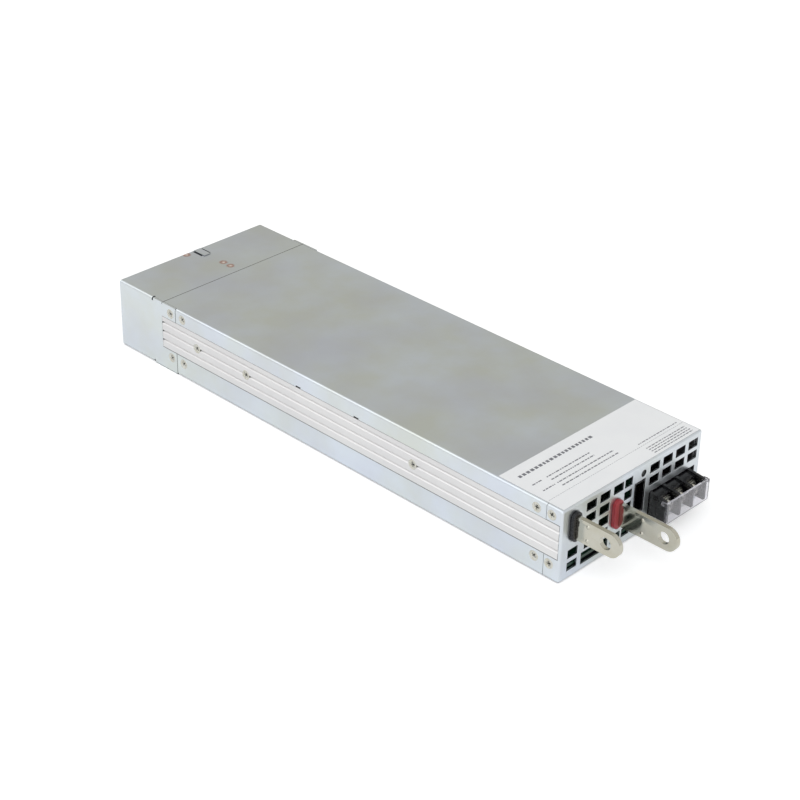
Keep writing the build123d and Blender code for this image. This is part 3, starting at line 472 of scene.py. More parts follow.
# Gold flash over nickel on the header pins
GOLD_PINS = Finish("gold_flashed_brass", "#D4AE62", 0.25, tone=("#BF9850", 1.5, 0.5),
                   grain=(0.3, 0.003), metallic=1.0)
# Moulded box of the film capacitor
CAPACITOR_BOX = Finish("moulded_yellow_polybutylene", "#C8B034", 0.45, tone=("#BDA52F", 6.0, 0.5),
                       grain=(0.5, 0.01), ior=1.55)
# Glazed ceramic fuse tube
CERAMIC = Finish("fired_ceramic_tube", "#DCD8CB", 0.4, tone=("#CFCABC", 5.0, 0.5),
                 grain=(0.4, 0.008), ior=1.6)
# Moulded fan plastic, black with a matt skin
FAN_PLASTIC = Finish("moulded_black_polybutylene", "#191A1C", 0.5, tone=("#222326", 8.0, 0.5),
                     grain=(0.4, 0.01), ior=1.55)


def dress(piece: Piece, finish: Finish) -> None:
    """Give an object one finish, whatever it had before.

    Args:
        piece: Object to dress.
        finish: Its finish.
    """
    piece.data.materials.clear()
    piece.data.materials.append(finish.material())


def dress_nodes(finish: Finish, *nodes: str) -> None:
    """Give CAD nodes that are kept one finish."""
    for node in nodes:
        dress(FRAME["nodes"][node], finish)


def solid_from(name: str, shape: Shape, smooth_below: float = 35.0) -> Piece:
    """Turn a working mesh into an object at the origin.

    Args:
        name: Name of the object.
        shape: Working mesh, freed here.
        smooth_below: Edges flatter than this many degrees shade smoothly.

    Returns:
        The linked object.
    """
    mesh = bpy.data.meshes.new(name)
    shape.to_mesh(mesh)
    shape.free()
    mesh.shade_smooth()
    mesh.set_sharp_from_angle(angle=math.radians(smooth_below))
    return linked(name, mesh)


def modified(piece: Piece, kind: str, inputs: dict[str, object] | None = None,
             **settings: object) -> Piece:
    """Run one modifier on a piece and leave it a plain mesh.

    Args:
        piece: Object to change.
        kind: Type of the modifier.
        inputs: Value of each input of its geometry tree, by identifier.
        settings: Properties of the modifier.

    Returns:
        The same object with its final mesh and no modifier.
    """
    step = piece.modifiers.new(kind, kind)
    for key, value in settings.items():
        setattr(step, key, value)
    for key, value in (inputs or {}).items():
        step[key] = value
    bpy.context.view_layer.update()
    graph = bpy.context.evaluated_depsgraph_get()
    final = bpy.data.meshes.new_from_object(piece.evaluated_get(graph), depsgraph=graph)
    old = piece.data
    piece.modifiers.clear()
    piece.data = final
    bpy.data.meshes.remove(old)
    return piece


def lathe(profile: list[tuple[float, float]], steps: int) -> Shape:
    """Turn a profile round Z. The profile runs from pole to pole, outside to the right.

    Args:
        profile: Radius and height of each point, in metres, from the lower pole up.
        steps: Number of steps round the axis.

    Returns:
        A closed working mesh.
    """
    shape = bmesh.new()
    points = [shape.verts.new((r, 0, z)) for r, z in profile]
    edges = [shape.edges.new(pair) for pair in zip(points, points[1:])]
    bmesh.ops.spin(shape, geom=points + edges, cent=(0, 0, 0), axis=(0, 0, 1),
                   angle=2 * math.pi, steps=steps, use_merge=True)
    bmesh.ops.remove_doubles(shape, verts=shape.verts, dist=MERGE)
    bmesh.ops.recalc_face_normals(shape, faces=shape.faces)
    return shape


def driven_screw(profile: list[tuple[float, float]], arm: float, width: float, depth: float,
                 rise: float) -> Piece:
    """Turn a screw and cut its cross recess: four tapering wings round a point.

    Args:
        profile: Radius and height of each point, the head's top at zero.
        arm: Length over two wings at the top.
        width: Width of a wing at the top.
        depth: Depth of the recess.
        rise: How far the cutter stands above the head.

    Returns:
        The screw along Z.
    """
    low_arm, low_width = 0.45, 0.6
    shape = bmesh.new()
    for turn in (0.0, math.pi / 2):
        cube = bmesh.ops.create_cube(shape, size=1.0)["verts"]
        for vert in cube:
            x, y, z = vert.co
            vert.co = ((x * arm * low_arm, y * width * low_width, -depth) if z < 0 else
                       (x * arm, y * width, rise))
        bmesh.ops.rotate(shape, verts=cube, cent=(0, 0, 0), matrix=Matrix.Rotation(turn, 3, "Z"))
    screw = solid_from("screw_template", lathe(profile, SCREW_STEPS))
    cutter = solid_from("cutter", shape)
    modified(screw, "BOOLEAN", operation="DIFFERENCE", solver="EXACT", use_self=True,
             object=cutter)
    bpy.data.objects.remove(cutter)
    return screw


@dataclass(frozen=True)
class EdgeBreak:
    """How far the sharp edges of a moulded or blanked piece are rounded."""

    radius: float = 0.2
    steps: int = 2
    sharper_than: float = 40.0
    flatter_than: float = 0.5

    def softened(self, node: str, finish: Finish) -> None:
        """Copy a CAD node, round its sharp edges, dress it and let the copy stand for it.

        Args:
            node: Name of the CAD node.
            finish: Finish of the copy.
        """
        shape = bmesh.new()
        shape.from_mesh(FRAME["nodes"][node].data)
        bmesh.ops.remove_doubles(shape, verts=shape.verts, dist=CAD_MERGE)
        bmesh.ops.dissolve_limit(shape, angle_limit=math.radians(self.flatter_than),
                                 verts=shape.verts, edges=shape.edges)
        piece = solid_from(f"{node}_finished", shape)
        modified(piece, "BEVEL", width=self.radius * MM, segments=self.steps,
                 limit_method="ANGLE", angle_limit=math.radians(self.sharper_than),
                 harden_normals=True)
        dress(piece, finish)
        stand_for(piece, node)


def stand_for(piece: Piece, node: str) -> None:
    """Let a piece ride with the CAD node that it replaces.

    Args:
        piece: Finished object.
        node: Name of the CAD node.
    """
    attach(piece, BODY_OF[node])
    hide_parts(node)


def islands(node: str) -> list[tuple[Vector, Vector]]:
    """Boxes of the separate solids inside one CAD node.

    Args:
        node: Name of the CAD node.

    Returns:
        Lowest and highest corner of each solid.
    """
    shape = bmesh.new()
    shape.from_mesh(FRAME["nodes"][node].data)
    bmesh.ops.remove_doubles(shape, verts=shape.verts, dist=CAD_MERGE)
    left = set(shape.verts)
    boxes = []
    while left:
        todo, seen = [left.pop()], []
        while todo:
            vert = todo.pop()
            seen.append(vert.co.copy())
            near = {edge.other_vert(vert) for edge in vert.link_edges} & left
            left -= near
            todo += near
        boxes.append(tuple(Vector([end(c[i] for c in seen) for i in range(3)])
                           for end in (min, max)))
    shape.free()
    return sorted(boxes, key=lambda pair: tuple(pair[0]))


@dataclass(frozen=True)
class Spot:
    """One place of a repeated piece."""

    at: Place
    axis: Place = (0.0, 0.0, 1.0)
    size: Place = (1.0, 1.0, 1.0)


def opened_tree(name: str, template: Piece, finish: Finish,
                more: dict[str, tuple[str, object]]) -> tuple[Tree, dict[str, object]]:
    """Start a geometry tree that repeats a template.

    Args:
        name: Name of the finished piece.
        template: Object to repeat.
        finish: Finish of all copies.
        more: Socket type and value of each further input, by its name.

    Returns:
        The tree, and the value of each input by its identifier.
    """
    tree = bpy.data.node_groups.new(f"{name}_tree", "GeometryNodeTree")
    socket = tree.interface.new_socket
    for way in ("INPUT", "OUTPUT"):
        socket("Geometry", in_out=way, socket_type="NodeSocketGeometry")
    wanted = {"Template": ("Object", template), "Finish": ("Material", finish.material()), **more}
    return tree, {
        socket(label, in_out="INPUT", socket_type=f"NodeSocket{kind}").identifier: value
        for label, (kind, value) in wanted.items()}


def grown(piece: Piece, tree: Tree, inputs: dict[str, object], copies: Node,
          template: Piece) -> Piece:
    """End a geometry tree with real faces and their material, run it and keep the result.

    Args:
        piece: Object that carries the tree.
        tree: Tree without its end.
        inputs: Value of each input, by identifier.
        copies: Node that gives the copies.
        template: Object that is no longer needed afterwards.

    Returns:
        The piece as a plain mesh.
    """
    start = add_node(tree, "NodeGroupInput").outputs
    solid = add_node(tree, "GeometryNodeRealizeInstances", {"Geometry": copies})
    dressed = add_node(tree, "GeometryNodeSetMaterial", {
        "Geometry": solid, "Material": start["Finish"]})
    add_node(tree, "NodeGroupOutput", {0: dressed})
    modified(piece, "NODES", inputs, node_group=tree)
    bpy.data.objects.remove(template)
    return piece


def placed_copies(name: str, template: Piece, spots: list[Spot], finish: Finish,
                  seed: int = 0, free_turn: float = 0.0) -> Piece:
    """Set copies of a template on spots with a geometry tree.

    Args:
        name: Name of the finished piece.
        template: Object to repeat, with its axis along Z. It is removed afterwards.
        spots: Place, axis and size of each copy.
        finish: Finish of all copies.
        seed: Seed of the free turn.
        free_turn: Largest turn about the copy's own axis, in radians.

    Returns:
        One plain mesh object.
    """
    mesh = bpy.data.meshes.new(name)
    mesh.from_pydata([s.at for s in spots], [], [])
    for key in ("axis", "size"):
        values = [c for s in spots for c in getattr(s, key)]
        mesh.attributes.new(key, "FLOAT_VECTOR", "POINT").data.foreach_set("vector", values)
    tree, inputs = opened_tree(name, template, finish, {
        "Free Turn": ("Float", free_turn), "Seed": ("Int", seed)})
    start = add_node(tree, "NodeGroupInput").outputs
    axis, size = (add_node(tree, "GeometryNodeInputNamedAttribute", {"Name": key},
                           data_type="FLOAT_VECTOR").outputs["Attribute"]
                  for key in ("axis", "size"))
    aimed = add_node(tree, "FunctionNodeAlignRotationToVector", {"Vector": axis}, axis="Z")
    turn = add_node(tree, "FunctionNodeRandomValue", {
        2: 0.0, 3: start["Free Turn"], "Seed": start["Seed"]}, data_type="FLOAT")
    own = add_node(tree, "FunctionNodeAxisAngleToRotation", {
        "Axis": (0.0, 0.0, 1.0), "Angle": turn.outputs[1]})
    turned = add_node(tree, "FunctionNodeRotateRotation", {"Rotation": aimed, "Rotate By": own},
                      rotation_space="LOCAL")
    shape = add_node(tree, "GeometryNodeObjectInfo", {"Object": start["Template"]})
    copies = add_node(tree, "GeometryNodeInstanceOnPoints", {
        "Points": start["Geometry"], "Instance": shape.outputs["Geometry"], "Rotation": turned,
        "Scale": size})
    return grown(linked(name, mesh), tree, inputs, copies, template)


def ring_copies(name: str, template: Piece, count: int, centre: Vector, tilt: Place,
                finish: Finish) -> Piece:
    """Repeat a template round an axis with a geometry tree.

    Args:
        name: Name of the finished piece.
        template: Object to repeat round Z. It is removed afterwards.
        count: Number of copies.
        centre: Where the axis stands.
        tilt: Euler angles that lay the axis over.
        finish: Finish of all copies.

    Returns:
        One plain mesh object.
    """
    tree, inputs = opened_tree(name, template, finish, {
        "Count": ("Int", count), "Centre": ("Vector", tuple(centre)), "Tilt": ("Vector", tilt)})
    start = add_node(tree, "NodeGroupInput").outputs
    line = add_node(tree, "GeometryNodeMeshLine", {"Count": start["Count"], "Offset": (0.0,) * 3})
    step = add_node(tree, "ShaderNodeMath", {0: 2 * math.pi, 1: start["Count"]},
                    operation="DIVIDE")
    angle = add_node(tree, "ShaderNodeMath", {
        0: add_node(tree, "GeometryNodeInputIndex"), 1: step}, operation="MULTIPLY")
    turn = add_node(tree, "ShaderNodeCombineXYZ", {"Z": angle})
    shape = add_node(tree, "GeometryNodeObjectInfo", {"Object": start["Template"]})
    copies = add_node(tree, "GeometryNodeInstanceOnPoints", {
        "Points": line, "Instance": shape.outputs["Geometry"], "Rotation": turn})
    solid = add_node(tree, "GeometryNodeRealizeInstances", {"Geometry": copies})
    laid = add_node(tree, "GeometryNodeTransform", {
        "Geometry": solid, "Translation": start["Centre"], "Rotation": start["Tilt"]})
    return grown(linked(name, bpy.data.meshes.new(name)), tree, inputs, laid, template)


@dataclass
class Case:
    """Folded sheets, the front panel and the two extruded rails."""

    sheets: tuple[str, ...] = ("top_cover", "bottom_chassis", "fan_divider")
    rails: tuple[str, ...] = ("left_rail", "right_rail")
    welds_at: tuple[tuple[float, float], ...] = ((3.5, 139.9), (3.5, 133.9), (-5.5, 161.5))
    panel_edges: EdgeBreak = field(default_factory=lambda: EdgeBreak(0.18, 2))

    def build(self) -> None:
        """Dress the sheets and break the edges of the pierced panel."""
        dress_nodes(ZINC_SHEET, *self.sheets)
        dress_nodes(ANODISED, *self.rails)
        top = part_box("top_cover")[1].z / MM
        dress_nodes(WeldedSheet(**{
            **vars(ZINC_SHEET), "name": "welded_zinc_plated_steel",
            "welds": tuple((x, y, top) for x, y in self.welds_at)}), "fan_housing")
        self.panel_edges.softened("front_panel", ZINC_SHEET)
        log.info("case dressed")


@dataclass
class CountersunkScrews:
    """Countersunk cross-head screws, flush with the sheet."""

    head_radius: float = 2.75
    shank_radius: float = 1.5
    head_height: float = 1.2
    rim: float = 0.18
    point_length: float = 0.4
    point_share: float = 0.75
    cross_arm: float = 3.1
    cross_width: float = 0.95
    cross_depth: float = 1.0
    cross_rise: float = 0.3
    seed: int = 11

    def template(self, length: float) -> Piece:
        """Make one screw, its head at z = 0 and its shank below.

        Args:
            length: Whole length in metres.

        Returns:
            The template object.
        """
        head, shank = self.head_radius * MM, self.shank_radius * MM
        rim, height = self.rim * MM, self.head_height * MM
        profile = [(0, -length), (self.point_share * shank, -length),
                   (shank, self.point_length * MM - length), (shank, -height), (head, -rim),
                   (head, -0.35 * rim), (head - 0.5 * rim, 0), (0, 0)]
        return driven_screw(profile, self.cross_arm * MM, self.cross_width * MM,
                            self.cross_depth * MM, self.cross_rise * MM)

    def build(self, node: str, along: int) -> None:
        """Replace every screw of one CAD node.

        Args:
            node: CAD node of equal screws.
            along: Index of the coordinate that the screws lie along.
        """
        boxes = islands(node)
        spots = []
        for low, high in boxes:
            at, axis = list((low + high) / 2), [0.0, 0.0, 0.0]
            axis[along] = 1.0 if at[along] > 0 else -1.0
            at[along] = (high if at[along] > 0 else low)[along]
            spots.append(Spot(tuple(at), tuple(axis)))
        length = boxes[0][1][along] - boxes[0][0][along]
        piece = placed_copies(f"{node}_finished", self.template(length), spots, SCREW_PLATING,
                              seed=self.seed, free_turn=math.pi)
        stand_for(piece, node)
        log.info("%s: %d screws", node, len(spots))


@dataclass
class Terminals:
    """Input terminal block: housing, contacts, screws, clamps and the clear lid."""

    poles: tuple[int, ...] = (1, 2, 3)
    head_height: float = 1.9
    dome: float = 0.5
    shank_share: float = 0.65
    point_share: float = 0.8
    edges: EdgeBreak = field(default_factory=lambda: EdgeBreak(0.2, 2))
    plate_edges: EdgeBreak = field(default_factory=lambda: EdgeBreak(0.15, 2))

    def screw(self, number: int) -> None:
        """Make one pan-head screw with its cross recess, as wide and long as its CAD node.

        Args:
            number: Pole number from the left.
        """
        node = f"terminal_screw_{number}"
        low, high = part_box(node)
        radius, length = (high.x - low.x) / 2, high.y - low.y
        shank = self.shank_share * radius
        height, dome = self.head_height * MM, self.dome * MM
        profile = [(0, -length), (self.point_share * shank, -length), (shank, -length + dome),
                   (shank, -height), (radius, -height), (radius, -1.6 * dome),
                   (0.93 * radius, -0.8 * dome), (0.7 * radius, -0.2 * dome), (0, 0)]
        template = driven_screw(profile, 1.25 * radius, 0.3 * radius, 0.5 * height, 0.5 * height)
        middle = (low + high) / 2
        spot = Spot((middle.x, low.y, middle.z), (0.0, -1.0, 0.0))
        piece = placed_copies(f"{node}_finished", template, [spot], SCREW_PLATING,
                              seed=number, free_turn=math.pi)
        stand_for(piece, node)

    def build(self) -> None:
        """Finish the block and what moves on it."""
        self.edges.softened("terminal_block", BLACK_PLASTIC)
        self.plate_edges.softened("terminal_cover", CLEAR_PLASTIC)
        self.plate_edges.softened("terminal_contacts", SCREW_PLATING)
        for number in self.poles:
            self.screw(number)
            self.plate_edges.softened(f"clamp_plate_{number}", SCREW_PLATING)
        log.info("terminal block built")


@dataclass
class Output:
    """Two bars with insulating collars, the signal header and the lamp."""

    bar_edges: EdgeBreak = field(default_factory=lambda: EdgeBreak(0.25, 3))
    collar_edges: EdgeBreak = field(default_factory=lambda: EdgeBreak(0.15, 2))

    def build(self) -> None:
        """Break the edges and dress each piece."""
        self.bar_edges.softened("negative_busbar", TINNED_COPPER)
        self.bar_edges.softened("positive_busbar", TINNED_COPPER)
        self.collar_edges.softened("negative_collar", BLACK_PLASTIC)
        self.collar_edges.softened("positive_collar", RED_PLASTIC)
        self.collar_edges.softened("signal_connector", BLACK_PLASTIC)
        dress_nodes(GOLD_PINS, "signal_pins")
        dress_nodes(LAMP_LENS, "status_lamp")
        dress_nodes(BLACK_PLASTIC, "lamp_holder")
        log.info("outputs built")


@dataclass
class Fan:
    """One axial fan: a bevelled frame and a rotor with curved blades."""

    side: str
    blades: int = 7
    chord: float = 13.5
    thickness: float = 0.9
    hub_pitch: float = 52.0
    tip_pitch: float = 33.0
    camber: float = 1.6
    tip_gap: float = 0.15
    hub_radius: float = 9.5
    hub_length: float = 17.0
    shaft_radius: float = 1.5
    hub_edge: float = 0.3
    cap_edge: float = 1.2
    cap_step: float = 0.25
    cap_share: float = 0.65
    radial_steps: int = 8
    chord_steps: int = 12
    hub_steps: int = 64
    smooth_below: float = 50.0
    frame_edges: EdgeBreak = field(default_factory=lambda: EdgeBreak(0.25, 2))

    def blade(self, hub_radius: float, tip_radius: float, middle: float) -> Piece:
        """Make one blade along the fan's axis, wrapped round the hub.

        Args:
            hub_radius: Radius where the blade grows out of the hub.
            tip_radius: Radius of the blade's tip.
            middle: Height of the blade's middle on the axis.

        Returns:
            The template object.
        """
        shape = bmesh.new()
        skins = []
        for skin in (1, -1):
            rows = []
            for i in range(self.radial_steps + 1):
                share = i / self.radial_steps
                radius = hub_radius + share * (tip_radius - hub_radius)
                pitch = math.radians(self.hub_pitch + share * (self.tip_pitch - self.hub_pitch))
                row = []
                for j in range(self.chord_steps + 1):
                    along = j / self.chord_steps * 2 - 1
                    bow = self.camber * MM * (1 - along * along)
                    half = self.thickness * MM / 2 * math.sqrt(max(0.0, 1 - along ** 4))
                    reach = along * self.chord * MM / 2
                    lift = bow + skin * half
                    around = reach * math.cos(pitch) - lift * math.sin(pitch)
                    height = reach * math.sin(pitch) + lift * math.cos(pitch)
                    angle = around / radius
                    row.append(shape.verts.new((radius * math.cos(angle),
                                                radius * math.sin(angle), middle + height)))
                rows.append(row)
            skins.append(rows)
        for rows in skins:
            for i in range(self.radial_steps):
                for j in range(self.chord_steps):
                    shape.faces.new((rows[i][j], rows[i][j + 1], rows[i + 1][j + 1],
                                     rows[i + 1][j]))
        for i in (0, self.radial_steps):
            for j in range(self.chord_steps):
                shape.faces.new((skins[0][i][j], skins[0][i][j + 1], skins[1][i][j + 1],
                                 skins[1][i][j]))
        bmesh.ops.remove_doubles(shape, verts=shape.verts, dist=MERGE)
        bmesh.ops.recalc_face_normals(shape, faces=shape.faces)
        return solid_from("blade_template", shape, self.smooth_below)

    def build(self) -> None:
        """Build the rotor and dress the frame."""
        self.frame_edges.softened(f"{self.side}_fan_frame", FAN_PLASTIC)
        node = f"{self.side}_fan_rotor"
        low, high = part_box(node)
        centre = (low + high) / 2
        tip = (high.x - low.x) / 2 - self.tip_gap * MM
        radius, length, shaft, edge, cap_edge, cap_step = (v * MM for v in (
            self.hub_radius, self.hub_length, self.shaft_radius, self.hub_edge, self.cap_edge,
            self.cap_step))
        cap_radius, cap_low = self.cap_share * radius, length - cap_step
        start = high.y - length
        tilt = (-math.pi / 2, 0.0, 0.0)
        origin = Vector((centre.x, start, centre.z))
        profile = [(0, low.y - start), (shaft, low.y - start), (shaft, 0), (radius - edge, 0),
                   (radius, edge), (radius, length - cap_edge), (radius - edge, length - edge),
                   (radius - cap_edge, length), (cap_radius + edge, length),
                   (cap_radius, cap_low), (0, cap_low)]
        for name, template, count in (
                ("hub", solid_from("hub_template", lathe(profile, self.hub_steps)), 1),
                ("blades", self.blade(radius - edge, tip, length / 2), self.blades)):
            piece = ring_copies(f"{self.side}_fan_{name}", template, count, origin, tilt,
                                FAN_PLASTIC)
            stand_for(piece, node)
        log.info("%s fan built", self.side)


@dataclass
class WoundRing:
    """A ring choke: a core with turns of enamelled wire laid round it."""

    node: str
    turns: int
    inner_radius: float
    wire: float
    sides: int = 8
    corner_steps: int = 3
    chamfer: float = 0.8
    core_steps: int = 48
    smooth_below: float = 80.0

    def loop(self, outer: float, height: float) -> Piece:
        """Make one turn of wire round the ring's section.

        Args:
            outer: Outer radius of the wound ring.
            height: Height of the wound ring.

        Returns:
            The template object.
        """
        radius = self.wire * MM / 2
        inner = self.inner_radius * MM
        corner = 3 * radius
        left, right = inner + radius, outer - radius
        low, top = radius, height - radius
        centres = ((right - corner, low + corner, -90), (right - corner, top - corner, 0),
                   (left + corner, top - corner, 90), (left + corner, low + corner, 180))
        path = []
        for x, z, first in centres:
            for step in range(self.corner_steps + 1):
                angle = math.radians(first + step * 90 / self.corner_steps)
                path.append((x + corner * math.cos(angle), z + corner * math.sin(angle)))
        shape = bmesh.new()
        rings = []
        for i, (x, z) in enumerate(path):
            ahead, behind = path[(i + 1) % len(path)], path[i - 1]
            along = Vector((ahead[0] - behind[0], 0, ahead[1] - behind[1])).normalized()
            out = along.cross(Vector((0, 1, 0)))
            rings.append([shape.verts.new(
                Vector((x, 0, z)) + radius * (math.cos(a) * out + math.sin(a) * Vector((0, 1, 0))))
                for a in [2 * math.pi * k / self.sides for k in range(self.sides)]])
        for i, ring in enumerate(rings):
            other = rings[(i + 1) % len(rings)]
            for k in range(self.sides):
                following = (k + 1) % self.sides
                shape.faces.new((ring[k], ring[following], other[following], other[k]))
        bmesh.ops.recalc_face_normals(shape, faces=shape.faces)
        return solid_from("turn_template", shape, self.smooth_below)

    def build(self) -> None:
        """Wind the ring and put its core inside."""
        low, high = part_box(self.node)
        centre = Vector(((low.x + high.x) / 2, (low.y + high.y) / 2, low.z))
        outer, height = (high.x - low.x) / 2, high.z - low.z
        wire, inner, chamfer = self.wire * MM, self.inner_radius * MM, self.chamfer * MM
        near, far, base, top = inner + wire, outer - wire, wire, height - wire
        profile = [(near + chamfer, base), (far - chamfer, base), (far, base + chamfer),
                   (far, top - chamfer), (far - chamfer, top), (near + chamfer, top),
                   (near, top - chamfer), (near, base + chamfer), (near + chamfer, base)]
        core = solid_from("core_template", lathe(profile, self.core_steps))
        for name, template, count, finish in (
                ("turns", self.loop(outer, height), self.turns, ENAMEL_WIRE),
                ("core", core, 1, FERRITE)):
            piece = ring_copies(f"{self.node}_{name}", template, count, centre, (0.0,) * 3, finish)
            stand_for(piece, self.node)


@dataclass
class Inside:
    """Boards, magnetics, cans and power devices behind the vents."""

    plain: tuple[tuple[Finish, tuple[str, ...]], ...] = (
        (LAMINATE, ("main_board", "control_board")), (DARK_FILM, ("insulating_film",)),
        (SCREW_PLATING, ("board_stand_offs", "board_screws", "fixing_nuts", "device_nuts")),
        (BLACK_PLASTIC, ("power_devices",)), (ANODISED, ("output_heatsink",)),
        (SLEEVE, (*(f"bulk_capacitor_{n}" for n in (1, 2, 3)),
                  *(f"output_capacitor_{n}" for n in (1, 2, 3, 4)))),
        (FERRITE, ("transformer_core_1", "transformer_core_2")),
        (TAPE, ("transformer_coil_1", "transformer_coil_2")),
        (CERAMIC, ("input_fuse",)), (CAPACITOR_BOX, ("line_capacitor",)))
    chokes: tuple[WoundRing, ...] = (
        WoundRing("line_choke_1", 26, 6.0, 1.1), WoundRing("line_choke_2", 26, 6.0, 1.1),
        WoundRing("boost_choke_1", 34, 8.5, 1.3), WoundRing("boost_choke_2", 34, 8.5, 1.3))

    def build(self) -> None:
        """Dress the boards and wind the chokes."""
        for finish, nodes in self.plain:
            dress_nodes(finish, *nodes)
        for choke in self.chokes:
            choke.build()
        log.info("inside built")


@dataclass(frozen=True)
class PrintedRow:
    """One row of dashes on the label, in millimetres from the case's centre."""

    left: float
    right: float
    y: float
    height: float = 0.75
    dash: tuple[float, float] = (0.7, 2.6)
    space: float = 0.55


@dataclass
class RatingLabel:
    """White film with plain dashes where a real label carries print."""

    ink: float = 0.02
    seed: int = 5
    rule_y: float = -152.0
    rule_inset: tuple[float, float] = (1.0, 1.5)
    rule_dash: float = 1.1
    rule_space: float = 0.5
    rule_height: float = 0.18
    rows: tuple[PrintedRow, ...] = (
        PrintedRow(-46.0, 8.0, -129.0, 1.9, (1.4, 2.2), 0.9),
        PrintedRow(-46.5, -39.5, -138.0), PrintedRow(-36.2, -4.5, -138.0),
        PrintedRow(-36.2, -4.5, -141.0), PrintedRow(-46.5, -38.0, -144.7),
        PrintedRow(-36.2, 5.5, -144.7), PrintedRow(-36.2, 5.5, -147.8),
        PrintedRow(18.5, 49.0, -149.9, 0.6), PrintedRow(18.5, 49.0, -154.9, 0.6),
        PrintedRow(18.5, 49.0, -156.6, 0.6), PrintedRow(18.5, 49.0, -158.3, 0.6),
        PrintedRow(18.5, 49.0, -160.0, 0.6))

    def build(self) -> None:
        """Dress the film and print the rows and the dashed rule."""
        dress_nodes(LABEL_FILM, "rating_label")
        low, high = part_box("rating_label")
        draw = random.Random(self.seed)
        dashes = []
        for row in self.rows:
            x = row.left
            while x < row.right:
                length = min(draw.uniform(*row.dash), row.right - x)
                dashes.append((x, row.y, length, row.height))
                x += length + row.space
        x = low.x / MM + self.rule_inset[0]
        while x < high.x / MM - self.rule_inset[1]:
            dashes.append((x, self.rule_y, self.rule_dash, self.rule_height))
            x += self.rule_dash + self.rule_space
        spots = [Spot(((x + length / 2) * MM, y * MM, high.z),
                      size=(length * MM, height * MM, self.ink * MM))
                 for x, y, length, height in dashes]
        plate = bmesh.new()
        bmesh.ops.create_cube(plate, size=1.0, matrix=Matrix.Translation((0, 0, 0.5)))
        print_piece = placed_copies("label_print", solid_from("dash_template", plate), spots,
                                    LABEL_INK)
        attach(print_piece, BODY_OF["rating_label"])
        log.info("label printed with %d dashes", len(spots))


@dataclass(frozen=True)
class Lamp:
    """One soft square lamp: watts, side in metres, and whether metal shows it."""

    name: str
    power: float
    size: float
    place: Place
    colour: str = "#FFFFFF"
    mirrored: bool = True
    aim: Place = (0.0, 0.0, 0.02)

    def build(self) -> None:
        """Hang the lamp in its place, turned to the object."""
        data = bpy.data.lights.new(self.name, "AREA")
        data.energy, data.size = self.power, self.size
        data.color = linear(self.colour)[:3]
        lamp = linked(self.name, data)
        lamp.location = self.place
        towards = Vector(self.aim) - Vector(self.place)
        lamp.rotation_mode = "QUATERNION"
        lamp.rotation_quaternion = towards.to_track_quat("-Z", "Y")
        lamp.visible_glossy = self.mirrored


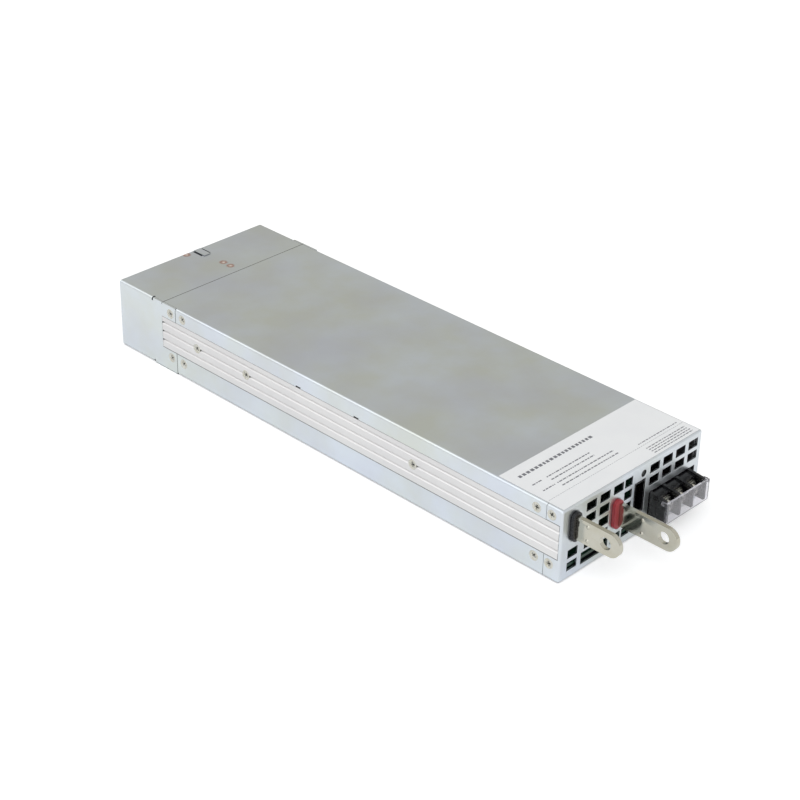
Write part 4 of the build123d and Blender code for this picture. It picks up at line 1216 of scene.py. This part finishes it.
@dataclass
class Studio:
    """White sweep, soft lamps and the camera at the photograph's angle."""

    azimuth: float = -46.219
    elevation: float = 30.43
    roll: float = 1.228
    focal_px: float = 1965.344
    frame_px: float = 800.0
    offset: tuple[float, float] = (4.290, 8.937)
    distance: float = 1059.582
    sensor: float = 36.0
    floor_size: float = 12.0
    ambient: float = 0.6
    floor_glow: float = 0.34
    mirrored_glow: float = 0.13
    mirrored_sky: float = 0.78
    card_level: float = 0.55
    card_size: tuple[float, float] = (4.6, 2.5)
    card_towards: Place = (0.72, 0.69, 0.0)
    card_distance: float = 2.2
    card_height: float = 1.35
    lamps: tuple[Lamp, ...] = (
        Lamp("key_lamp", 18.0, 2.9, (-1.5, -0.5, 1.3), "#F3F8FF"),
        Lamp("fill_lamp", 9.0, 1.6, (0.5, -1.7, 1.2), mirrored=False),
        Lamp("rim_lamp", 3.6, 1.2, (-0.75, 1.15, 1.4)))

    def camera(self) -> None:
        """Place the camera from the angles fitted to the case's edges."""
        a, e, r = (math.radians(v) for v in (self.azimuth, self.elevation, self.roll))
        back = Vector((math.sin(a) * math.cos(e), -math.cos(a) * math.cos(e), math.sin(e)))
        level = Vector((math.cos(a), math.sin(a), 0))
        up = back.cross(level)
        right = level * math.cos(r) + up * math.sin(r)
        top = -level * math.sin(r) + up * math.cos(r)
        place = (right * self.offset[0] + top * self.offset[1] + back * self.distance) * MM
        data = bpy.data.cameras.new("camera")
        data.sensor_width = self.sensor
        data.lens = self.focal_px / self.frame_px * self.sensor
        data.clip_start, data.clip_end = 0.01, 50.0
        camera = linked("camera", data)
        turn = Matrix((right, top, back)).transposed().to_4x4()
        camera.matrix_world = Matrix.Translation(place) @ turn
        bpy.context.scene.camera = camera

    def seen(self, tree: Tree, plain: float, mirrored: float, shown: float) -> Node:
        """Level that differs for rays that show the background.

        Args:
            tree: Tree of the world or the floor.
            plain: Level for light on the object.
            mirrored: Level for glossy rays.
            shown: Level for camera and transmitted rays.

        Returns:
            The node that gives the level.
        """
        rays = add_node(tree, "ShaderNodeLightPath").outputs
        glossy = add_node(tree, "ShaderNodeMapRange", {
            "Value": rays["Is Glossy Ray"], "To Min": plain, "To Max": mirrored})
        direct = add_node(tree, "ShaderNodeMath", {
            0: rays["Is Camera Ray"], 1: rays["Is Transmission Ray"]}, operation="MAXIMUM")
        return add_node(tree, "ShaderNodeMapRange", {
            "Value": direct, "To Min": glossy, "To Max": shown})

    def world(self) -> None:
        """White surroundings that light the object softly."""
        world = bpy.data.worlds.new("studio_world")
        tree = cleared(world)
        sky = add_node(tree, "ShaderNodeBackground", {
            "Color": linear("#FFFFFF"),
            "Strength": self.seen(tree, self.ambient, self.mirrored_sky, 1.0)})
        add_node(tree, "ShaderNodeOutputWorld", {"Surface": sky})
        bpy.context.scene.world = world

    def sheet(self, name: str, size: tuple[float, float], place: Matrix,
              material: Material) -> Piece:
        """Add one flat studio surface.

        Args:
            name: Name of the object.
            size: Width and height in metres.
            place: Its place in the studio.
            material: Its material.

        Returns:
            The staged object.
        """
        shape = bmesh.new()
        bmesh.ops.create_grid(shape, x_segments=1, y_segments=1, size=0.5)
        bmesh.ops.scale(shape, vec=(size[0], size[1], 1), verts=shape.verts)
        bmesh.ops.transform(shape, matrix=place, verts=shape.verts)
        made = solid_from(name, shape)
        made.data.materials.append(material)
        made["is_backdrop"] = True
        return made

    def floor(self) -> None:
        """White table that keeps the object's soft shadow."""
        paper = bpy.data.materials.new("white_seamless_paper")
        tree = cleared(paper)
        shader = add_node(tree, "ShaderNodeBsdfPrincipled", {
            "Base Color": linear("#FAFAFA"), "Roughness": 0.9,
            "Emission Color": linear("#FFFFFF"),
            "Emission Strength": self.seen(tree, 0.0, self.mirrored_glow, self.floor_glow)})
        add_node(tree, "ShaderNodeOutputMaterial", {"Surface": shader})
        self.sheet("floor", (self.floor_size, self.floor_size), Matrix.Identity(4), paper)

    def card(self) -> None:
        """Grey card behind and above, which the top sheet mirrors."""
        grey = bpy.data.materials.new("grey_studio_card")
        tree = cleared(grey)
        glow = add_node(tree, "ShaderNodeEmission", {
            "Color": linear("#FFFDF5"), "Strength": self.card_level})
        add_node(tree, "ShaderNodeOutputMaterial", {"Surface": glow})
        towards = Vector(self.card_towards)
        middle = towards * self.card_distance + Vector((0, 0, self.card_height))
        place = Matrix.Translation(middle) @ (-towards).to_track_quat("Z", "Y").to_matrix().to_4x4()
        card = self.sheet("grey_card", self.card_size, place, grey)
        card.visible_camera = False
        card.visible_shadow = False

    def build(self) -> None:
        """Set up the whole studio."""
        self.world()
        self.floor()
        self.card()
        for lamp in self.lamps:
            lamp.build()
        self.camera()
        bpy.context.scene.view_settings.view_transform = "Standard"
        log.info("studio ready")


def plain(box: tuple[Vector, Vector]) -> list[list[float]]:
    """Corners of a box as plain lists."""
    return [[float(c) for c in corner] for corner in box]


def main() -> None:
    """Build every sub-assembly, then the studio, and work out the sizes."""
    cad_box = plain(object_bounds())
    Case().build()
    screws = CountersunkScrews()
    screws.build("case_screws", 0)
    screws.build("rail_screws", 0)
    screws.build("fan_screws", 1)
    Terminals().build()
    Output().build()
    for side in ("left", "right"):
        Fan(side).build()
    Inside().build()
    RatingLabel().build()
    Studio().build()
    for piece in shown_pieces():
        log.info("piece %s: %d faces", piece.name, len(piece.data.polygons))
    {"cad": cad_box, "visual": plain(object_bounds())}


if __name__ == "__main__":
    logging.basicConfig(level=logging.INFO, format="%(message)s")
    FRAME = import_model()
    BODY_OF = {node: body for body, nodes in FRAME["record"]["behaviour"]["bodies"].items()
               for node in nodes}
    main()
